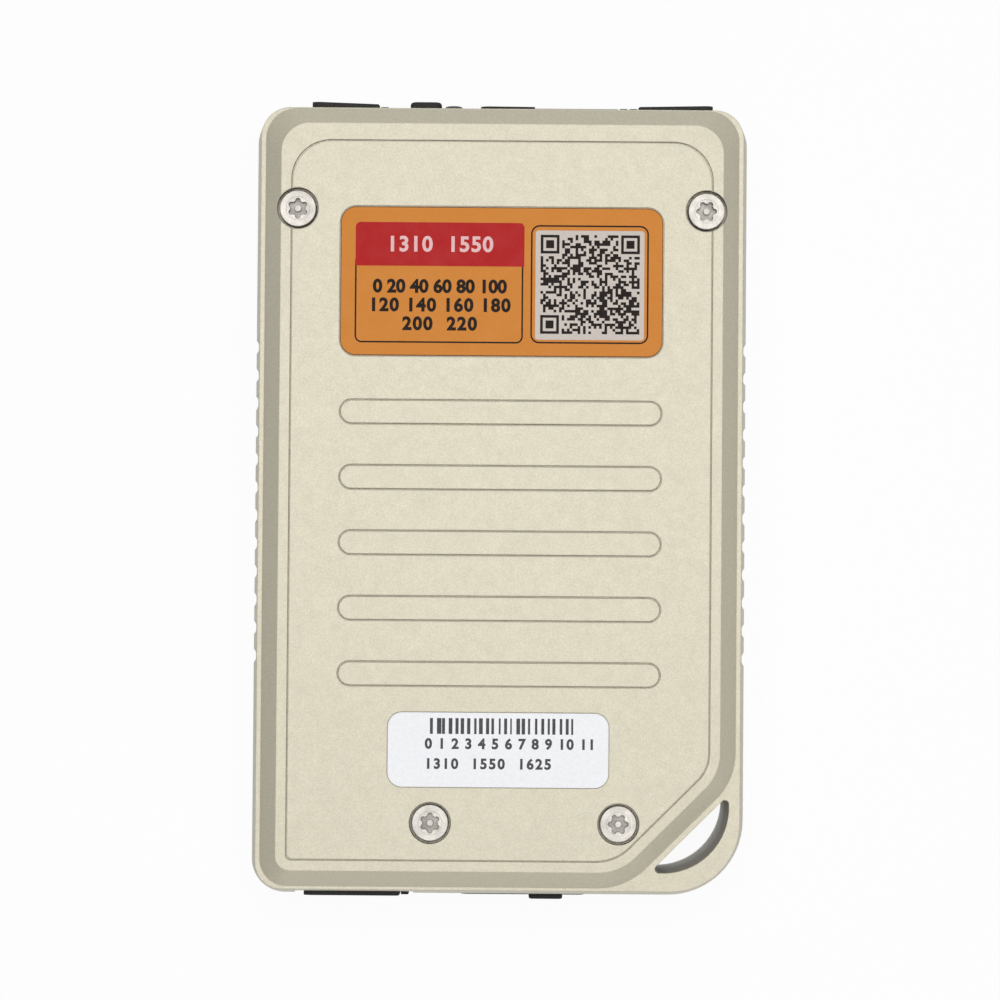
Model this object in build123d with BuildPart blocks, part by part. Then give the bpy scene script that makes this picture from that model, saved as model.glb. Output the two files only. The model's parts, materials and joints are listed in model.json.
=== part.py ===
from build123d import *
import os
from math import atan, cos, degrees, radians, sqrt

# Pocket optical time domain reflectometer, lying on its display with its back up.
# Millimetres. +X is the right of the back, +Y its port end, +Z out of the back.
# The origin is on the table under the middle of the case.

# Case
body_width = 80.0
body_length = 128.0
body_depth = 30.0
parting_z = 15.0
wall = 2.0
side_bulge = 1.15
top_corner = 5.8
foot_corner = 5.4
hang_corner = 12.2
front_edge_round = 0.9
parting_reveal = 0.25
running_gap = 0.15
snug_gap = 0.05

# Back plateau and its bevel
bevel_width = 2.6
bevel_height = 2.6
strip_side = 0.75
strip_top = 0.15
strip_foot = 0.5
back_wall = 3.0
foot_cut_inset = 21.0
foot_radii = [5.0, 4.3, 11.1, 10.4, 5.0]
plateau_radii = [4.6, 2.3, 8.5, 8.0, 4.6]

# Engraved line on the plateau
line_width = 0.22
line_depth = 0.6
line_side_inset = 1.75
line_top_inset = 2.8
line_radii = [6.4, 0.9, 7.6, 6.0, 6.4]

# Raised bars on the plateau, each in a fine channel
bar_length = 51.4
bar_height = 3.7
bar_rise = 0.2
bar_count = 5
bar_margin = 7.59
bar_shift = 1.45
bar_draft = 20.0
bar_channel_width = 0.2
bar_channel_depth = 0.4

# Side grips: shallow flutes down both sides
flute_count = 12
flute_pitch = 4.58
flute_middle_y = -0.35
flute_radius = 1.7
flute_depth = 0.4
flute_stop = 3.0
flute_overlap = 0.5

# Lanyard loop in the cut corner
loop_inset_x = 13.5
loop_inset_y = 14.7
loop_radius = 10.6
loop_chord_inset = 19.75
loop_tip_round = 0.65
loop_wall_round = 2.0

# Labels on the back
label_thickness = 0.35
label_pocket = 0.25
orange_label_width = 51.7
orange_label_height = 23.9
orange_label_round = 2.5
orange_label_gap = 0.15
orange_label_inset = 29.3
serial_label_width = 35.3
serial_label_height = 11.9
serial_label_round = 2.3
serial_label_gap = 0.08
serial_label_inset = 23.7

# Case screws and their brass inserts
screw_side_inset = 7.2
screw_top_inset = 17.7
screw_foot_inset = 12.0
screw_foot_left_inset = 29.2
screw_foot_right_inset = 20.7
screw_radius = 1.5
screw_hole_radius = 1.7
screw_head_radius = 3.0
screw_head_height = 2.2
screw_head_dome = 0.25
screw_head_sink = 0.3
screw_reach = 3.5
counterbore_radius = 3.35
boss_radius = 3.6
lobe_circle = 1.25
lobe_radius = 0.42
lobe_count = 6
lobe_turns = [30, 0, 30, 0]
drive_depth = 1.3
drive_dish_radius = 1.9
drive_dish_depth = 0.08
drive_pin_radius = 0.5
drive_pin_drop = 0.3
insert_radius = 2.2
insert_length = 6.0
insert_clearance = 0.02

# Display side
glass_side_border = 6.0
glass_top_border = 8.0
glass_foot_border = 18.0
glass_round = 3.0
glass_thickness = 1.2
glass_setback = 0.8
glass_gap = 0.15
seal_thickness = 0.2
ledge_thickness = 1.2
window_side_border = 7.5
window_top_border = 6.0
window_foot_border = 10.0
panel_border = 2.0
panel_thickness = 2.6

# Main board on its standoffs
board_thickness = 1.6
board_top_z = 8.3
board_side_gap = 1.8
board_end_gap = 1.6
board_loop_gap = 1.82
board_gap = 0.4
board_hole_gap = 0.1
board_radii = [3.0, 3.0, 1.0, 1.0, 3.0]
standoff_radius = 2.4
standoff_side_inset = 7.5
standoff_top_inset = 46.0
standoff_foot_inset = 34.0
board_screw_radius = 1.0
board_screw_head = 1.9
board_screw_head_height = 1.2
board_screw_head_round = 0.5
board_screw_length = 4.2

# Port end: flat band in the top wall, everything centred on the parting line
band_depth = 0.7
port_band_left_reach = 7.8
port_band_right_reach = 8.8
port_band_height = 14.0
band_round = 2.0

plug_boss_gap = 0.4
adapter_width = 9.3
adapter_height = 12.8
mouth_setback = 1.1
adapter_length = 11.8
adapter_port_width = 7.4
adapter_port_height = 9.0
adapter_floor = 2.0
barrel_radius = 2.4
barrel_length = 4.8
adapter_gap = 0.1
key_width = 2.2
key_depth = 0.7
sleeve_radius = 1.65
sleeve_setback = 0.4
sleeve_slit = 0.4
ferrule_radius = 1.25
ferrule_clearance = 0.02
ferrule_length = 3.4
plug_width = 6.4
plug_length = 9.0
plug_round = 0.8
boot_radius = 1.9
boot_tip_radius = 1.0
boot_length = 7.0

vfl_radius = 3.5
meter_radius = 3.9
ferrule_depth = 9.0
receptacle_length = 11.0
collar_overlap = 0.9
collar_thickness = 1.2
collar_setback = 2.1
laser_radius = 3.0
laser_length = 13.0
photodiode_radius = 2.7
photodiode_length = 2.4
photodiode_shift = 0.6

button_gap = 3.6
button_width = 5.1
button_height = 6.4
button_round = 1.2
button_proud = 1.7
button_shelf_setback = 2.3
button_shelf = 1.0
button_shelf_thickness = 0.8
button_travel = 0.5
button_edge_round = 0.5
button_lens_gap = 0.4
lens_radius = 1.55
lens_proud = 1.3
lens_shelf = 1.4
lens_shelf_thickness = 0.8
lens_dome = 0.5
key_board_border = 0.9
key_board_setback = 7.3
key_board_thickness = 1.0
key_board_top_z = 20.0
tact_size = 4.5
tact_stop_gap = 0.1
tact_pip_radius = 1.2
tact_pip_length = 0.6
led_radius = 1.4
led_lens_gap = 0.3

# Rubber flaps over the ports, each hinged at its tether
flap_seat_gap = 0.05
tether_thickness = 0.8
tether_gap = 0.1
tether_length = 1.2
tether_peg = 0.9
tether_peg_depth = 1.7
tether_peg_height = 3.0
flap_plug_depth = 0.8
flap_plug_gap = 0.3
flap_round = 1.4
tether_height = 6.0

otdr_hinge_reach = 5.2
otdr_flap_reach = 10.6
otdr_flap_height = 13.0
otdr_flap_lip = 1.15

vfl_hinge_gap = 3.8
vfl_flap_cap = 8.8
vfl_cap_gap = 2.9
vfl_strap_length = 13.4
vfl_flap_lip = 0.85
vfl_strap_height = 4.2

meter_hinge_reach = 4.8
meter_flap_reach = 11.8
meter_flap_height = 11.0
meter_flap_lip = 1.05

data_hinge_reach = 7.5
data_flap_reach = 15.2
data_flap_height = 12.4
data_flap_lip = 0.8

# Foot end: data jack under its flap, then the switch bezel
data_flap_inset = 8.7
data_jack_width = 14.6
data_jack_height = 13.4
data_jack_length = 15.0
data_cavity_width = 11.8
data_cavity_height = 8.2
data_cavity_depth = 11.5
data_latch_width = 4.0
data_latch_height = 1.6
data_band_left_reach = 9.4
data_band_right_reach = 10.0
data_setback = 2.1

bezel_left = -6.1
bezel_right = 14.4
bezel_low_z = 6.4
bezel_high_z = 14.0
bezel_round = 1.4
bezel_sink = 0.8
bezel_thickness = 1.0
bezel_edge_round = 0.35

charge_reach = 5.8
charge_width = 8.9
charge_height = 3.2
charge_length = 7.4
charge_wall = 0.3
charge_tongue = 0.7
charge_setback = 0.3
charge_depth = 6.2
charge_tongue_width = 6.6

knob_reach = 14.05
knob_width = 5.5
knob_height = 4.4
knob_proud = 0.8
knob_gap = 0.1
knob_travel = 3.0
knob_stem_width = 2.4
knob_stem_height = 1.8
knob_rib_count = 3
knob_rib_depth = 0.25
knob_rib_width = 0.5
knob_round = 0.8
knob_edge_round = 0.3
switch_height = 4.2
switch_depth = 4.0
switch_setback = 2.3
switch_margin = 1.6
switch_slot_depth = 1.4

# Inside the case
module_width = 46.0
module_top_gap = 0.4
module_foot_gap = 7.0
module_height = 7.0
module_lid_thickness = 1.0
module_round = 2.0
tray_width = 44.0
tray_length = 40.0
tray_round = 12.0
tray_height = 3.2
tray_wall = 1.0
tray_floor = 0.8
tray_inset = 2.0
tray_hub_round = 7.0
coil_room = 6.0
coil_width = 4.0
coil_height = 1.8
battery_width = 52.0
battery_length = 62.0
battery_foot_gap = 8.4
battery_gap = 1.5
battery_round = 2.4
pad_thickness = 0.6
pad_border = 4.0
shield_width = 26.0
shield_length = 22.0
shield_x = -6.0
shield_inset = 36.0
shield_height = 3.0
shield_round = 1.0
vent_pitch = 3.0
vent_columns = 6
vent_rows = 4
vent_radius = 0.6
vent_depth = 0.4
buzzer_x = 20.0
buzzer_inset = 34.0
buzzer_radius = 4.5
buzzer_height = 3.6
buzzer_hole = 0.8

# Levels that follow from the sizes above
rim_z = body_depth - bevel_height
ceiling_z = body_depth - back_wall
seal_z = glass_setback + glass_thickness
ledge_z = seal_z + seal_thickness
floor_z = ledge_z + ledge_thickness
board_z = board_top_z - board_thickness
head_seat_z = body_depth - screw_head_sink - screw_head_height
module_z = board_top_z
module_lid_z = module_z + module_height
tray_z = module_lid_z + module_lid_thickness
battery_z = tray_z + tray_height + battery_gap
battery_thickness = ceiling_z - pad_thickness - battery_z
switch_z = board_top_z + switch_height / 2
back_draft = degrees(atan(side_bulge / (rim_z - parting_z)))
front_draft = degrees(atan(side_bulge / parting_z))

# Places across the case
half_width = body_width / 2
half_length = body_length / 2
loop_x = half_width - loop_inset_x
loop_y = -(half_length - loop_inset_y)
foot_cut = half_width + half_length - foot_cut_inset
loop_chord = half_width + half_length - loop_chord_inset

top_screw_x = half_width - screw_side_inset
top_screw_y = half_length - screw_top_inset
foot_screw_left_x = -(half_width - screw_foot_left_inset)
foot_screw_right_x = half_width - screw_foot_right_inset
foot_screw_y = -(half_length - screw_foot_inset)
screw_places = [
    (-top_screw_x, top_screw_y),
    (top_screw_x, top_screw_y),
    (foot_screw_left_x, foot_screw_y),
    (foot_screw_right_x, foot_screw_y),
]
screw_length = head_seat_z - parting_z + screw_reach

orange_label_y = half_length - orange_label_inset
serial_label_y = -(half_length - serial_label_inset)
bars_high_y = orange_label_y - orange_label_height / 2
bars_low_y = serial_label_y + serial_label_height / 2
bar_middle_y = (bars_high_y + bars_low_y) / 2 - bar_shift
bar_pitch = (bars_high_y - bars_low_y - 2 * bar_margin) / (bar_count - 1)

glass_width = body_width - 2 * glass_side_border
glass_length = body_length - glass_top_border - glass_foot_border
glass_middle_y = (glass_foot_border - glass_top_border) / 2
window_width = glass_width - 2 * window_side_border
window_length = glass_length - window_top_border - window_foot_border
window_middle_y = glass_middle_y + (window_foot_border - window_top_border) / 2

board_width = 2 * (half_width - wall - board_side_gap)
board_end = half_length - wall - board_end_gap
board_cut = loop_chord - wall * sqrt(2) - board_loop_gap
standoff_x = half_width - standoff_side_inset
standoff_top_y = half_length - standoff_top_inset
standoff_foot_y = -(half_length - standoff_foot_inset)
standoff_places = [
    (-standoff_x, standoff_top_y),
    (standoff_x, standoff_top_y),
    (-standoff_x, standoff_foot_y),
    (standoff_x, standoff_foot_y),
]

# Ports along the port end
port_face = half_length - band_depth
mouth_y = port_face - mouth_setback
collar_y = port_face - collar_setback
adapter_x = -(top_screw_x - boss_radius - plug_boss_gap - plug_width / 2)
meter_x = half_width - top_corner - (meter_flap_reach - meter_hinge_reach)
port_band_left = adapter_x - port_band_left_reach
port_band_right = meter_x + port_band_right_reach
flap_axis_lift = flap_seat_gap + tether_thickness / 2
peg_offset = tether_thickness / 2 + tether_gap + tether_length / 2
otdr_hinge_x = adapter_x + otdr_hinge_reach
meter_hinge_x = meter_x - meter_hinge_reach
vfl_hinge_x = meter_hinge_x - vfl_hinge_gap
otdr_peg_x = otdr_hinge_x + peg_offset
vfl_peg_x = vfl_hinge_x + peg_offset
meter_peg_x = meter_hinge_x - peg_offset

# Torch and light source in a row, their gaps spread over the room between the two hinges
row_left = otdr_peg_x + tether_length / 2
button_group_width = button_width + button_lens_gap + 2 * lens_radius
row_room = vfl_hinge_x - row_left - button_group_width - vfl_flap_cap
row_spread = row_room / (button_gap + vfl_cap_gap + vfl_strap_length)
button_group_x = row_left + row_spread * button_gap + button_group_width / 2
vfl_flap_reach = vfl_flap_cap + row_spread * vfl_strap_length
vfl_x = vfl_hinge_x - vfl_flap_reach + vfl_flap_cap / 2
button_x = button_group_x - button_group_width / 2 + button_width / 2
lens_x = button_group_x + button_group_width / 2 - lens_radius
button_face_y = port_face + button_proud
button_shelf_y = port_face - button_shelf_setback
lens_face_y = port_face + lens_proud
key_board_face_y = port_face - key_board_setback
key_board_left = button_x - button_width / 2 - key_board_border
key_board_right = lens_x + lens_radius + key_board_border

# Foot end
data_x = -(half_width - data_flap_inset - (data_flap_reach - data_hinge_reach))
data_hinge_x = data_x + data_hinge_reach
data_peg_x = data_hinge_x + peg_offset
data_band_left = data_x - data_band_left_reach
data_band_right = data_x + data_band_right_reach
data_face_y = -(port_face - data_setback)
data_opening_width = data_cavity_width + 2 * flap_plug_gap
data_opening_height = data_cavity_height + data_latch_height + 2 * flap_plug_gap
data_cavity_low_z = parting_z - (data_cavity_height + data_latch_height) / 2

bezel_width = bezel_right - bezel_left
bezel_height = bezel_high_z - bezel_low_z
bezel_x = (bezel_left + bezel_right) / 2
bezel_z = (bezel_low_z + bezel_high_z) / 2
bezel_seat = half_length - bezel_sink
bezel_face = bezel_seat + bezel_thickness
charge_x = bezel_left + charge_reach
charge_z = board_top_z + charge_height / 2
knob_x = bezel_left + knob_reach
knob_face = bezel_face + knob_proud
switch_face_y = -(bezel_seat - switch_setback)

# Inside the case
adapter_back_y = mouth_y - adapter_length
plug_back_y = adapter_back_y - plug_length
boot_back_y = plug_back_y - boot_length
shield_y = -(half_length - shield_inset)
buzzer_y = -(half_length - buzzer_inset)
module_high_y = boot_back_y - module_top_gap
module_low_y = shield_y + shield_length / 2 + module_foot_gap
module_length = module_high_y - module_low_y
module_y = (module_high_y + module_low_y) / 2
tray_y = module_high_y - tray_inset - tray_length / 2
tray_hub_width = tray_width - 2 * (tray_wall + coil_room)
tray_hub_length = tray_length - 2 * (tray_wall + coil_room)
battery_low_y = foot_screw_y + boss_radius + battery_foot_gap
battery_y = battery_low_y + battery_length / 2
battery_edge = min(battery_round, battery_thickness / 2 - snug_gap)


def case_inset(z):
    """How far the case wall stands inside its widest line at height z."""
    if z >= parting_z:
        return side_bulge * (z - parting_z) / (rim_z - parting_z)
    return side_bulge * (parting_z - z) / parting_z


def draw_rounded(corners, radii, mode=Mode.ADD):
    """Closed outline through corners, each with its own radius."""
    with BuildLine() as outline:
        FilletPolyline(*corners, radius=radii, close=True)
    make_face(outline.edges(), mode=mode)


def draw_case(inset):
    """Outline of the case, its loop corner rounder than the others."""
    right = half_width - inset
    top = half_length - inset
    corners = [(-right, top), (-right, -top), (right, -top), (right, top)]
    radii = [top_corner - inset, foot_corner - inset, hang_corner - inset, top_corner - inset]
    draw_rounded(corners, radii)


def draw_cut_corner(right, top, foot, cut, radii, mode=Mode.ADD):
    """Outline with its lower right corner cut along the line x - y = cut."""
    corners = [(-right, top), (-right, foot), (cut + foot, foot), (right, right - cut), (right, top)]
    draw_rounded(corners, radii, mode)


def draw_plateau(inset, radii):
    """Outline of the raised back, inset from the foot of its bevel."""
    rim_inset = case_inset(rim_z)
    right = half_width - rim_inset - strip_side - inset
    top = half_length - rim_inset - strip_top - inset
    foot = -(half_length - rim_inset - strip_foot - inset)
    draw_cut_corner(right, top, foot, foot_cut - inset * sqrt(2), radii)


def draw_line_edge(inset, mode=Mode.ADD):
    """One edge of the engraved line, inset from the middle of the line."""
    rim_inset = case_inset(rim_z)
    side = bevel_width + line_side_inset + inset
    right = half_width - rim_inset - strip_side - side
    top = half_length - rim_inset - strip_top - bevel_width - line_top_inset - inset
    foot = -(half_length - rim_inset - strip_foot - side)
    draw_cut_corner(right, top, foot, foot_cut - side * sqrt(2), line_radii, mode)


def draw_cavity(z):
    """Inside of the case walls at height z, with the wall that closes off the loop."""
    inset = case_inset(z) + wall
    right = half_width - inset
    top = half_length - inset
    corner = top_corner - wall
    radii = [corner, corner, loop_wall_round, loop_wall_round, corner]
    draw_cut_corner(right, top, -top, loop_chord - wall * sqrt(2), radii)


def draw_loop_hole():
    """Crescent between the loop and the cut corner."""
    chord = loop_chord / 2
    with Locations((loop_x, loop_y)):
        Circle(loop_radius)
    with Locations(Location((chord, -chord), -45)):
        Rectangle(loop_radius, 8 * loop_radius, align=(Align.MIN, Align.CENTER), mode=Mode.INTERSECT)


def cut_loop_hole():
    """Cut the crescent right through, with round tips."""
    with BuildSketch() as crescent:
        draw_loop_hole()
        fillet(crescent.vertices(), loop_tip_round)
    extrude(crescent.sketch, amount=body_depth, mode=Mode.SUBTRACT)


def wall_plane(y):
    """Plane across the case at y: local x is X, local y is Z, and its normal is -Y."""
    return Plane.XZ.offset(-y)


def cut_flutes(low_z, high_z, tilt):
    """Flutes down both side walls, following the draft of one shell."""
    middle_z = (low_z + high_z) / 2
    length = (high_z - low_z) / cos(radians(tilt))
    wall_x = half_width - case_inset(middle_z) + flute_radius - flute_depth
    for side in (-1, 1):
        for row in range(flute_count):
            y = flute_middle_y + (row - (flute_count - 1) / 2) * flute_pitch
            with Locations(Location((side * wall_x, y, middle_z), (0, -side * tilt, 0))):
                Cylinder(flute_radius, length, mode=Mode.SUBTRACT)


def draw_peg_hole(x):
    """Hole in an end wall for a flap's tether peg."""
    with Locations((x, parting_z)):
        Rectangle(tether_peg + 2 * snug_gap, tether_peg_height + 2 * snug_gap)


def cut_top_wall():
    """Flat band and the openings for the ports, button and lamp in the top wall."""
    with BuildSketch(wall_plane(half_length + 1)) as band:
        with Locations(((port_band_left + port_band_right) / 2, parting_z)):
            RectangleRounded(port_band_right - port_band_left, port_band_height, band_round)
    extrude(band.sketch, amount=half_length + 1 - port_face, mode=Mode.SUBTRACT)
    with BuildSketch(wall_plane(port_face)) as openings:
        with Locations((adapter_x, parting_z)):
            Rectangle(adapter_width + 2 * adapter_gap, adapter_height + 2 * adapter_gap)
        with Locations((button_x, parting_z)):
            RectangleRounded(button_width + 2 * running_gap, button_height + 2 * running_gap, button_round)
        with Locations((lens_x, parting_z)):
            Circle(lens_radius + snug_gap)
        with Locations((vfl_x, parting_z)):
            Circle(vfl_radius + snug_gap)
        with Locations((meter_x, parting_z)):
            Circle(meter_radius + snug_gap)
        draw_peg_hole(otdr_peg_x)
        draw_peg_hole(vfl_peg_x)
        draw_peg_hole(meter_peg_x)
    extrude(openings.sketch, amount=2 * wall, mode=Mode.SUBTRACT)


def cut_foot_wall():
    """Flat band, data opening and tether hole in the foot wall."""
    with BuildSketch(wall_plane(-half_length - 1)) as band:
        with Locations(((data_band_left + data_band_right) / 2, parting_z)):
            RectangleRounded(data_band_right - data_band_left, port_band_height, band_round)
    extrude(band.sketch, amount=-(half_length + 1 - port_face), mode=Mode.SUBTRACT)
    with BuildSketch(wall_plane(-port_face)) as openings:
        with Locations((data_x, parting_z)):
            Rectangle(data_opening_width, data_opening_height)
        draw_peg_hole(data_peg_x)
    extrude(openings.sketch, amount=-2 * wall, mode=Mode.SUBTRACT)


def cut_switch_wall():
    """Seat of the switch bezel in the front shell, and its two openings."""
    with BuildSketch(wall_plane(-half_length - 1)) as seat:
        with Locations((bezel_x, bezel_z)):
            RectangleRounded(bezel_width + 2 * snug_gap, bezel_height + 2 * snug_gap, bezel_round)
    extrude(seat.sketch, amount=-(half_length + 1 - bezel_seat), mode=Mode.SUBTRACT)
    with BuildSketch(wall_plane(-bezel_seat)) as openings:
        draw_charge_opening()
        draw_stem_slot()
    extrude(openings.sketch, amount=-2 * wall, mode=Mode.SUBTRACT)


def draw_charge_opening():
    """Opening round the charging socket."""
    with Locations((charge_x, charge_z)):
        SlotOverall(charge_width + 2 * running_gap, charge_height + 2 * running_gap)


def draw_stem_slot():
    """Slot that the switch knob's stem runs in."""
    with Locations((knob_x + knob_travel / 2, switch_z)):
        Rectangle(knob_stem_width + knob_travel + 2 * running_gap, knob_stem_height + 2 * running_gap)


def draw_flap_side(start, reach, lip):
    """Side of a flap lying shut, from a distance off its hinge to its lip."""
    low = flap_seat_gap
    with BuildLine() as side:
        Polyline((start, low), (reach, low), (reach, low + lip), (start, low + tether_thickness), close=True)
    make_face(side.edges())


def draw_hinge_end(reach):
    """Thin part of a flap from its round hinge end."""
    with Locations((0, flap_axis_lift)):
        Circle(tether_thickness / 2)
    with Locations((0, flap_seat_gap)):
        Rectangle(reach, tether_thickness, align=(Align.MIN, Align.MIN))


def draw_plug_side(near, far):
    """Side of the plug under a flap, between two distances from the hinge."""
    with Locations((near, flap_seat_gap + tether_thickness / 2)):
        Rectangle(far - near, flap_plug_depth + tether_thickness / 2, align=(Align.MIN, Align.MAX))


# Hinge planes: x runs from the hinge to the lip, y out of the wall, z along the hinge
otdr_hinge = Plane(origin=(otdr_hinge_x, port_face, parting_z), x_dir=(-1, 0, 0), z_dir=(0, 0, -1))
vfl_hinge = Plane(origin=(vfl_hinge_x, port_face, parting_z), x_dir=(-1, 0, 0), z_dir=(0, 0, -1))
meter_hinge = Plane(origin=(meter_hinge_x, port_face, parting_z), x_dir=(1, 0, 0), z_dir=(0, 0, 1))
data_hinge = Plane(origin=(data_hinge_x, -port_face, parting_z), x_dir=(-1, 0, 0), z_dir=(0, 0, 1))

os.makedirs("parts", exist_ok=True)

# Back shell: drafted walls, bevelled plateau with its cut corner, bars, line and loop
with BuildPart() as back_shell:
    with BuildSketch(Plane.XY.offset(parting_z)):
        draw_case(case_inset(parting_z))
    extrude(amount=rim_z - parting_z, taper=back_draft)
    chamfer(back_shell.edges().group_by(Axis.Z)[0], parting_reveal)
    with BuildSketch(Plane.XY.offset(rim_z)):
        draw_plateau(0, foot_radii)
    with BuildSketch(Plane.XY.offset(body_depth)):
        draw_plateau(bevel_width, plateau_radii)
    loft(ruled=True)
    with BuildSketch(Plane.XY.offset(parting_z)):
        draw_cavity(parting_z)
    extrude(amount=ceiling_z - parting_z, taper=back_draft, mode=Mode.SUBTRACT)
    with BuildSketch(Plane.XY.offset(parting_z)):
        with Locations(*screw_places):
            Circle(boss_radius)
    extrude(amount=ceiling_z - parting_z)
    with BuildSketch(Plane.XY.offset(body_depth)):
        with Locations((0, bar_middle_y)):
            with GridLocations(0, bar_pitch, 1, bar_count):
                SlotOverall(bar_length, bar_height)
    extrude(amount=bar_rise, taper=bar_draft)
    with BuildSketch(Plane.XY.offset(body_depth)):
        with Locations((0, bar_middle_y)):
            with GridLocations(0, bar_pitch, 1, bar_count):
                SlotOverall(bar_length + 2 * bar_channel_width, bar_height + 2 * bar_channel_width)
                SlotOverall(bar_length, bar_height, mode=Mode.SUBTRACT)
    extrude(amount=-bar_channel_depth, mode=Mode.SUBTRACT)
    with BuildSketch(Plane.XY.offset(body_depth - line_depth)):
        draw_line_edge(-line_width / 2)
        draw_line_edge(line_width / 2, Mode.SUBTRACT)
    extrude(amount=line_depth, mode=Mode.SUBTRACT)
    with BuildSketch(Plane.XY.offset(body_depth - label_pocket)):
        with Locations((0, orange_label_y)):
            RectangleRounded(orange_label_width + 2 * orange_label_gap,
                             orange_label_height + 2 * orange_label_gap,
                             orange_label_round + orange_label_gap)
        with Locations((0, serial_label_y)):
            RectangleRounded(serial_label_width + 2 * serial_label_gap,
                             serial_label_height + 2 * serial_label_gap,
                             serial_label_round + serial_label_gap)
    extrude(amount=label_pocket, mode=Mode.SUBTRACT)
    with Locations(*[(x, y, body_depth) for x, y in screw_places]):
        CounterBoreHole(screw_hole_radius, counterbore_radius, body_depth - head_seat_z,
                        body_depth - parting_z)
    cut_loop_hole()
    cut_flutes(parting_z - flute_overlap, rim_z - flute_stop, back_draft)
    cut_top_wall()
    cut_foot_wall()
back_shell.part.label = "back_shell"
export_step(back_shell.part, "parts/back_shell.step")

# Front shell: drafted walls, raised rim round the display, bosses and standoffs
with BuildPart() as front_shell:
    with BuildSketch():
        draw_case(side_bulge)
    extrude(amount=parting_z, taper=-front_draft)
    fillet(front_shell.edges().group_by(Axis.Z)[0], front_edge_round)
    with BuildSketch(Plane.XY.offset(floor_z)):
        draw_cavity(floor_z)
    extrude(amount=parting_z - floor_z, taper=-front_draft, mode=Mode.SUBTRACT)
    with BuildSketch(Plane.XY.offset(floor_z)):
        with Locations(*screw_places):
            Circle(boss_radius)
    extrude(amount=parting_z - floor_z)
    with BuildSketch(Plane.XY.offset(parting_z)):
        with Locations(*screw_places):
            Circle(insert_radius)
    extrude(amount=-insert_length, mode=Mode.SUBTRACT)
    with BuildSketch(Plane.XY.offset(floor_z)):
        with Locations(*standoff_places):
            Circle(standoff_radius)
            Circle(board_screw_radius + insert_clearance, mode=Mode.SUBTRACT)
    extrude(amount=board_z - floor_z)
    with BuildSketch():
        with Locations((0, glass_middle_y)):
            RectangleRounded(glass_width + 2 * glass_gap, glass_length + 2 * glass_gap, glass_round)
    extrude(amount=ledge_z, mode=Mode.SUBTRACT)
    with BuildSketch():
        with Locations((0, window_middle_y)):
            Rectangle(window_width, window_length)
    extrude(amount=floor_z, mode=Mode.SUBTRACT)
    cut_loop_hole()
    cut_flutes(flute_stop, parting_z + flute_overlap, -front_draft)
    cut_top_wall()
    cut_foot_wall()
    cut_switch_wall()
front_shell.part.label = "front_shell"
export_step(front_shell.part, "parts/front_shell.step")

# Case screws: pan heads with a six-lobe recess round a centre pin
with BuildPart() as case_screws:
    with BuildSketch(Plane.XY.offset(head_seat_z)):
        with Locations(*screw_places):
            Circle(screw_head_radius)
    extrude(amount=screw_head_height)
    fillet(case_screws.edges().group_by(Axis.Z)[-1], screw_head_dome)
    with BuildSketch(Plane.XY.offset(head_seat_z + screw_head_height)):
        with Locations(*screw_places):
            Circle(drive_dish_radius)
    extrude(amount=-drive_dish_depth, mode=Mode.SUBTRACT)
    with BuildSketch(Plane.XY.offset(head_seat_z + screw_head_height)):
        for place, turn in zip(screw_places, lobe_turns):
            with Locations(place):
                Circle(lobe_circle)
                with PolarLocations(lobe_circle, lobe_count, start_angle=turn):
                    Circle(lobe_radius)
    extrude(amount=-drive_depth, mode=Mode.SUBTRACT)
    with BuildSketch(Plane.XY.offset(head_seat_z + screw_head_height - drive_depth)):
        with Locations(*screw_places):
            Circle(drive_pin_radius)
    extrude(amount=drive_depth - drive_pin_drop)
    with BuildSketch(Plane.XY.offset(head_seat_z)):
        with Locations(*screw_places):
            Circle(screw_radius)
    extrude(amount=-screw_length)
case_screws.part.label = "case_screws"
export_step(case_screws.part, "parts/case_screws.step")

# Brass inserts in the front bosses
with BuildPart() as case_inserts:
    with BuildSketch(Plane.XY.offset(parting_z)):
        with Locations(*screw_places):
            Circle(insert_radius)
            Circle(screw_radius + insert_clearance, mode=Mode.SUBTRACT)
    extrude(amount=-insert_length)
case_inserts.part.label = "case_inserts"
export_step(case_inserts.part, "parts/case_inserts.step")

# Cover glass, its adhesive seal and the display panel behind the window
with BuildPart() as display_glass:
    with BuildSketch(Plane.XY.offset(glass_setback)):
        with Locations((0, glass_middle_y)):
            RectangleRounded(glass_width, glass_length, glass_round)
    extrude(amount=glass_thickness)
display_glass.part.label = "display_glass"
export_step(display_glass.part, "parts/display_glass.step")

with BuildPart() as glass_seal:
    with BuildSketch(Plane.XY.offset(seal_z)):
        with Locations((0, glass_middle_y)):
            RectangleRounded(glass_width, glass_length, glass_round)
        with Locations((0, window_middle_y)):
            Rectangle(window_width, window_length, mode=Mode.SUBTRACT)
    extrude(amount=seal_thickness)
glass_seal.part.label = "glass_seal"
export_step(glass_seal.part, "parts/glass_seal.step")

with BuildPart() as display_panel:
    with BuildSketch(Plane.XY.offset(floor_z)):
        with Locations((0, window_middle_y)):
            Rectangle(window_width + 2 * panel_border, window_length + 2 * panel_border)
    extrude(amount=panel_thickness)
display_panel.part.label = "display_panel"
export_step(display_panel.part, "parts/display_panel.step")

# Main board, cut away round the case bosses, and its four screws
with BuildPart() as main_board:
    with BuildSketch(Plane.XY.offset(board_z)):
        draw_cut_corner(board_width / 2, board_end, -board_end, board_cut, board_radii)
        with Locations(*screw_places):
            Circle(boss_radius + board_gap, mode=Mode.SUBTRACT)
        with Locations(*standoff_places):
            Circle(board_screw_radius + board_hole_gap, mode=Mode.SUBTRACT)
    extrude(amount=board_thickness)
main_board.part.label = "main_board"
export_step(main_board.part, "parts/main_board.step")

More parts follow.
